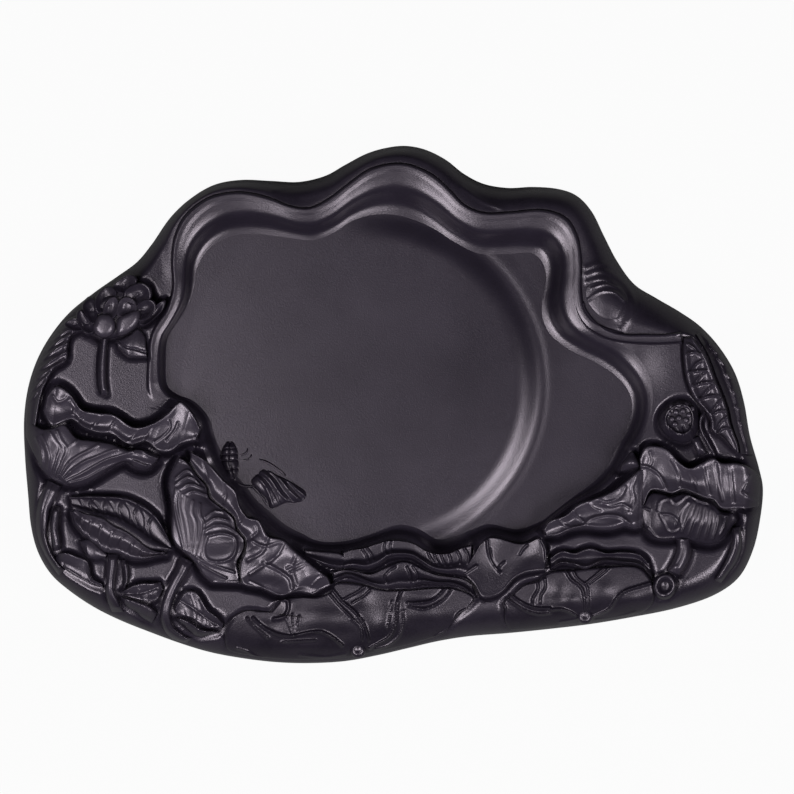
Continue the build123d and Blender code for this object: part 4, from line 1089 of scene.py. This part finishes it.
# %% Their hubs: a low boss with a dimple, shaped from a ball
def boss(name, place, radius_px, height, dimple=0.35, floor=None, node=None):
    """A ball pressed flat and dimpled on top, half of it in the stone; height is in metres."""
    start_clean()
    x, y = plan(place)
    base = surface_at(np.array([place], float))[0] if floor is None else floor
    bpy.ops.mesh.primitive_uv_sphere_add(segments=40, ring_count=24, radius=1)
    piece = bpy.context.object
    piece.name = piece.data.name = name + "_form"
    radius = radius_px * pixel
    for vertex in piece.data.vertices:
        out = math.hypot(vertex.co.x, vertex.co.y)
        sink = dimple * math.exp(-(out / 0.4) ** 2) if vertex.co.z > 0 else 0
        vertex.co = (x + vertex.co.x * radius, y + vertex.co.y * radius,
                     base + (vertex.co.z - sink) * height)
    bpy.ops.object.shade_smooth_by_angle(angle=math.radians(60))
    finish_piece(piece, carved_finish, node or name)
    return piece


boss("front_left_leaf_hub", (358, 650), 8, 0.0030)
boss("front_right_leaf_hub", (585, 616), 8, 0.0030)

# %% [markdown]
# ## The lotus flower
# Outer petals lie open in a ring, inner ones stand up as a cup. Each is a small round net over its own
# outline, the inner ones higher; the outer ones have a crease along the middle.

# %% Petals
petal_dome = [(0, 0.35), (0.15, 0.75), (0.5, 0.95), (1, 1)]
open_petal = [(0, 0.78), (0.12, 1), (0.28, 0.84), (0.6, 0.58), (1, 0.5)]
patch("flower_cup",
      [(92, 302), (102, 291), (118, 286), (137, 288), (150, 294), (152, 305), (145, 317), (135, 330),
       (118, 337), (102, 338), (90, 330), (87, 315)],
      (118, 312), 2.4, [(0, 0.2), (0.25, 0.8), (0.6, 1), (1, 0.8)], node="inner_petals", rows=24, turns=90,
      hollow=(2.6, 9), material=painted_shade_finish)
petal_hollow = (2.2, 6)


def tips_up(places):
    """An open petal rises from the middle of the flower to its tip."""
    return 0.00013 * (np.hypot(places[..., 0] - 118, places[..., 1] - 312) - 24)


outer_petals = [
    ([(112, 287), (122, 277), (131, 274), (137, 279), (134, 289), (122, 294)], (124, 285), 4.2),
    ([(124, 291), (134, 284), (143, 283), (150, 288), (151, 298), (142, 303), (132, 306), (124, 301)],
     (138, 294), 4.6),
    ([(133, 310), (138, 303), (146, 299), (154, 301), (156, 309), (149, 317), (140, 321), (133, 317)],
     (145, 310), 5.0),
    ([(165, 300), (163, 309), (156, 317), (147, 324), (139, 326), (139, 318), (150, 311), (157, 304)],
     (153, 315), 4.0),
    ([(94, 303), (98, 293), (105, 286), (112, 286), (117, 292), (114, 302), (106, 310), (97, 314)],
     (105, 299), 4.6),
    ([(83, 302), (90, 296), (96, 301), (98, 311), (97, 321), (92, 325), (86, 316), (82, 309)], (91, 311),
     4.0),
    ([(76, 315), (80, 309), (88, 318), (94, 325), (94, 333), (88, 334), (82, 330), (78, 324)], (86, 324),
     3.6),
    ([(64, 325), (68, 320), (76, 318), (83, 323), (84, 330), (72, 331)], (74, 325), 3.0),
]
for number, (outline, middle, rise) in enumerate(outer_petals, 1):
    patch(f"outer_petal_{number}", outline, middle, rise, open_petal, rows=18, turns=72,
          rounding=1.2, lines=veins(-0.3, 1.6, [middle, (118, 310)]), hollow=petal_hollow, level=0.55,
          lift=tips_up, material=painted_shade_finish, node="outer_petals")
inner_petals = [
    ([(104, 318), (103, 308), (108, 299), (115, 296), (119, 302), (118, 312), (113, 319)], (111, 308), 4.4,
     open_petal),
    ([(117, 316), (118, 303), (123, 297), (130, 297), (136, 302), (137, 311), (129, 318)], (127, 307), 4.6,
     open_petal),
    ([(94, 322), (97, 316), (102, 313), (110, 314), (115, 320), (116, 329), (111, 336), (102, 338),
     (95, 334), (92, 328)], (104, 325), 6.3, petal_dome),
    ([(116, 323), (120, 316), (129, 312), (137, 309), (141, 313), (140, 321), (134, 329), (125, 335),
     (117, 335)], (128, 321), 6.3, petal_dome),
]
for number, (outline, middle, rise, shape) in enumerate(inner_petals, 1):
    patch(f"inner_petal_{number}", outline, middle, rise, shape, rows=22, turns=84, rounding=1.8,
          hollow=petal_hollow, node="inner_petals")

# %% [markdown]
# ## The rear leaf and the seed pod
# The leaf on the rear slope is a low swelling. The pod is a cup with a flat face full of seeds; one
# seed is shaped from a ball and copied, each copy with its own mesh.

# %% Rear leaf and pod
patch("rear_leaf",
      [(585, 290), (590, 282), (602, 278), (613, 281), (622, 288), (628, 298), (627, 309), (620, 317),
       (609, 320), (599, 316), (591, 308), (586, 299)],
      (606, 299), 1.0, [(0, 0.1), (0.3, 0.6), (0.7, 0.95), (1, 1)], rows=30, turns=120, rounding=1.5,
      hollow=(0.0, 2),
      lines=veins(0.5, 2.2, [(588, 300), (600, 292), (614, 292), (624, 300)])
          + veins(0.4, 2, [(592, 288), (606, 284), (618, 288)]))
leaf("rim_strip",
     [(584, 300), (587, 310), (597, 322), (610, 330), (626, 334), (645, 334), (663, 334), (681, 332)],
     [(574, 302), (577, 314), (586, 328), (602, 338), (622, 343), (645, 345), (663, 345), (682, 344)],
     1.3, [(0, 0.5), (0.15, 1), (0.3, 0.7), (0.75, 0.65), (0.88, 1), (1, 0.5)], node="basin_rim",
     end_shares=(0.0, 0.8), material=basin_finish, hollow=(0.0, 2), rounding=1.5)
patch("seed_pod",
      [(659, 421), (662, 412), (669, 405), (677, 401), (687, 401), (694, 406), (698, 414), (699, 423),
       (697, 433), (692, 440), (684, 443), (675, 441), (667, 436), (661, 429)],
      (680, 414), 4.2, [(0, 0.0), (0.1, 0.35), (0.22, 0.8), (0.32, 1.0), (0.42, 0.56), (1, 0.5)], rows=40,
      turns=140, rounding=2, material=painted_shade_finish,
      lines=veins(-0.6, 1.5, [(674, 427), (679, 434)], [(690, 424), (694, 431)], [(683, 426), (686, 438)],
            [(667, 424), (671, 433)]))
pod_face = ground + 0.0023
seeds = [(672, 407), (679, 405), (686, 405), (692, 409), (669, 413), (676, 412), (683, 411), (689, 415),
         (672, 419), (679, 418), (686, 420), (675, 424)]
first_seed = boss("pod_seed_1", seeds[0], 3.0, 0.0013, dimple=0.1, floor=pod_face, node="pod_seeds")
for number, seed in enumerate(seeds[1:], 2):
    copied = first_seed.copy()
    copied.data = first_seed.data.copy()
    copied.name = copied.data.name = f"pod_seed_{number}_form"
    copied.data.transform(Matrix.Translation((*(plan(seed) - plan(seeds[0])), 0)))
    bpy.context.scene.collection.objects.link(copied)
    finish_piece(copied, carved_finish, "pod_seeds")

# %% [markdown]
# ## The slab, its rim and its basin
# The rim stands proud only round the back and dies away behind the leaves, which are the basin's edge
# in front. The rear slope carries the folds of a leaf seen from below, cut as shallow ridges.

# %% Slab
slope_lines = (
    veins(0.5, 3, [(586, 268), (599, 264), (611, 266)], [(275, 190), (288, 187), (305, 185), (320, 180)])
    + veins(0.6, 3.2, [(586, 275), (600, 271), (614, 275), (627, 286), (633, 300), (630, 316), (621, 329)],
        [(587, 282), (601, 279), (613, 284), (621, 294), (623, 306), (618, 320)])
    + veins(0.4, 3, [(462, 187), (480, 200), (500, 208)]))
slab_rows = [(outline_r * scale, height) for scale, height in [
    (0, 0), (0.5, 0), (0.93, 0), (0.955, 0.0002), (0.964, 0.001), (0.972, 0.0025), (0.983, 0.005),
    (0.994, 0.0085)]]
for turn in np.linspace(0, math.pi / 2, 24):
    share = 1 - math.cos(turn)
    slab_rows.append((outline_r + (flat_r - outline_r) * share, side_height(share)))
for share in np.linspace(0, 1, 72)[1:]:
    slab_rows.append((flat_r + (rim_r - flat_r) * share, ground))
degrees_round = np.degrees(angles) % 360
rear_fall = 0.0011
rear_share = ease((degrees_round - 28) / 12) * ease((158 - degrees_round) / 12)


def ring_points(places, heights):
    """One ring of the stone in metres."""
    return with_height(places[None], np.broadcast_to(heights, (1, ring_count + 1)))[0]


slab_net = []
for radius, height in slab_rows:
    places = on_ring(radius)
    lift = 0
    if np.max(height) > widest:
        lift = relief(places, slope_lines) - hollow_depth(places) - basin_side_fall(places)
        lift = lift - rear_fall * rear_share * ease((radius - rim_r) / 12)
    slab_net.append(ring_points(places, height + lift))
slab = net_piece("stone_slab", np.array(slab_net)[::-1])
finish_piece(slab, carved_finish, "stone_block")

# %% Rim and basin
rim_share = ease((degrees_round - 11) / 8) * ease((183 - degrees_round) / 5)
rim_shares = [(0.0, -0.15), (0.06, -0.1), (0.13, 0.55), (0.22, 0.92), (0.34, 1.0), (0.65, 0.88), (1.0, 0.58)]


def ring_net(rows):
    return np.array([ring_points(on_ring(radius), height) for radius, height in rows])


rim_rows = []
for share in np.linspace(0, 1, 15):
    lift = np.interp(share, *zip(*rim_shares))
    radius = rim_r + (lip_r - rim_r) * share
    places = on_ring(radius)
    sunk = hollow_depth(places) + basin_side_fall(places)
    rim_rows.append((radius, ground + rim_rise * lift * rim_share - sunk))
finish_piece(net_piece("raised_rim", ring_net(rim_rows)[::-1]), basin_finish, "basin_rim")

lip_height = rim_rows[-1][1]
floor_edge_height = floor_height(on_ring(floor_r))
wall_curve = smooth_line([(0, 0), (0.15, 0.045), (0.3, 0.12), (0.42, 0.27), (0.55, 0.54), (0.66, 0.77),
                          (0.76, 0.90), (0.88, 0.965), (1, 1)], 12)
wall_rows = []
for share in np.linspace(0, 1, 34):
    wall_rows.append((lip_r + (floor_r - lip_r) * share,
                      lip_height + (floor_edge_height - lip_height) * np.interp(share, *wall_curve.T)))
finish_piece(net_piece("basin_wall", ring_net(wall_rows)[::-1]), basin_finish, "stone_block")

floor_rows = []
past_step_r = np.minimum(step_r + 20, floor_r - 2)
before_step_r = step_r - 26
for start, end, count in ((floor_r, past_step_r, 16), (past_step_r, before_step_r, 30),
                          (before_step_r, step_r * 0, 36)):
    for share in np.linspace(0, 1, count, endpoint=False):
        radius = start + (end - start) * share
        floor_rows.append((radius, floor_height(on_ring(radius))))
floor_rows.append((step_r * 0, floor_height(turn_px[None])[0]))
finish_piece(net_piece("grinding_floor", ring_net(floor_rows)[::-1]), basin_finish,
             "grinding_face", "stone_block")

# %% [markdown]
# ## Light, floor and camera
# Two large soft boxes stand high in front, left and right, as in a product studio, and a weak one at
# the left lets the basin grow darker to the right. The floor shows white to the camera and still
# keeps the stone's shadow.

# %% Lights
light_aim = (0, 0, 0.02)


def soft_box(name, place, size, power):
    """A square lamp that looks at the middle of the stone."""
    light = bpy.data.lights.new(name, "AREA")
    light.shape, light.size, light.size_y, light.energy = "RECTANGLE", size, size, power
    lamp = bpy.data.objects.new(name, light)
    lamp.location = place
    x, y, z = np.subtract(light_aim, place)
    lamp.rotation_euler = (math.atan2(math.hypot(x, y), -z), 0, math.atan2(-x, y))
    bpy.context.scene.collection.objects.link(lamp)
    return lamp


soft_box("left front box", (-0.55, -0.44, 0.90), 0.42, 9.8)
soft_box("right front box", (0.58, -0.42, 0.90), 0.42, 9.8)
soft_box("left side box", (-0.34, -0.04, 0.90), 0.32, 2.1)

world = bpy.data.worlds.new("studio")
bpy.context.scene.world = world
world.use_nodes = True
backdrop = world.node_tree.nodes["Background"]
seen = world.node_tree.nodes.new("ShaderNodeLightPath")
sky = colour_mix(world.node_tree, A=(0.03, 0.03, 0.034), B=(1, 1, 1))
world.node_tree.links.new(seen.outputs["Is Camera Ray"], sky.inputs["Factor"])
world.node_tree.links.new(sky.outputs["Result"], backdrop.inputs["Color"])

# %% Floor
start_clean()
bpy.ops.mesh.primitive_plane_add(size=3)
floor = bpy.context.object
floor.name = "studio_floor"
paper = bpy.data.materials.new("white paper")
paper.use_nodes = True
tree = paper.node_tree
sheen = tree.nodes["Principled BSDF"]
sheen.inputs["Base Color"].default_value = (0.14, 0.14, 0.14, 1)
sheen.inputs["Roughness"].default_value = 0.9
glow = tree.nodes.new("ShaderNodeEmission")
seen = tree.nodes.new("ShaderNodeLightPath")
share = tree.nodes.new("ShaderNodeMath")
share.operation = "MULTIPLY"
share.inputs[1].default_value = 0.96
mixed = tree.nodes.new("ShaderNodeMixShader")
tree.links.new(seen.outputs["Is Camera Ray"], share.inputs[0])
tree.links.new(share.outputs[0], mixed.inputs[0])
tree.links.new(sheen.outputs[0], mixed.inputs[1])
tree.links.new(glow.outputs[0], mixed.inputs[2])
tree.links.new(mixed.outputs[0], tree.nodes["Material Output"].inputs["Surface"])
floor.data.materials.append(paper)

# %% Camera
camera = bpy.data.objects.new("camera", bpy.data.cameras.new("camera"))
camera.data.type = "ORTHO"
camera.data.ortho_scale = picture_px * pixel
camera.data.dof.use_dof = False
camera.location = (*plan((picture_px / 2, picture_px / 2)), 1.0)
bpy.context.scene.collection.objects.link(camera)
scene = bpy.context.scene
scene.camera = camera
scene.render.resolution_x = scene.render.resolution_y = picture_px
scene.render.resolution_percentage = 100
scene.view_settings.view_transform = "Standard"
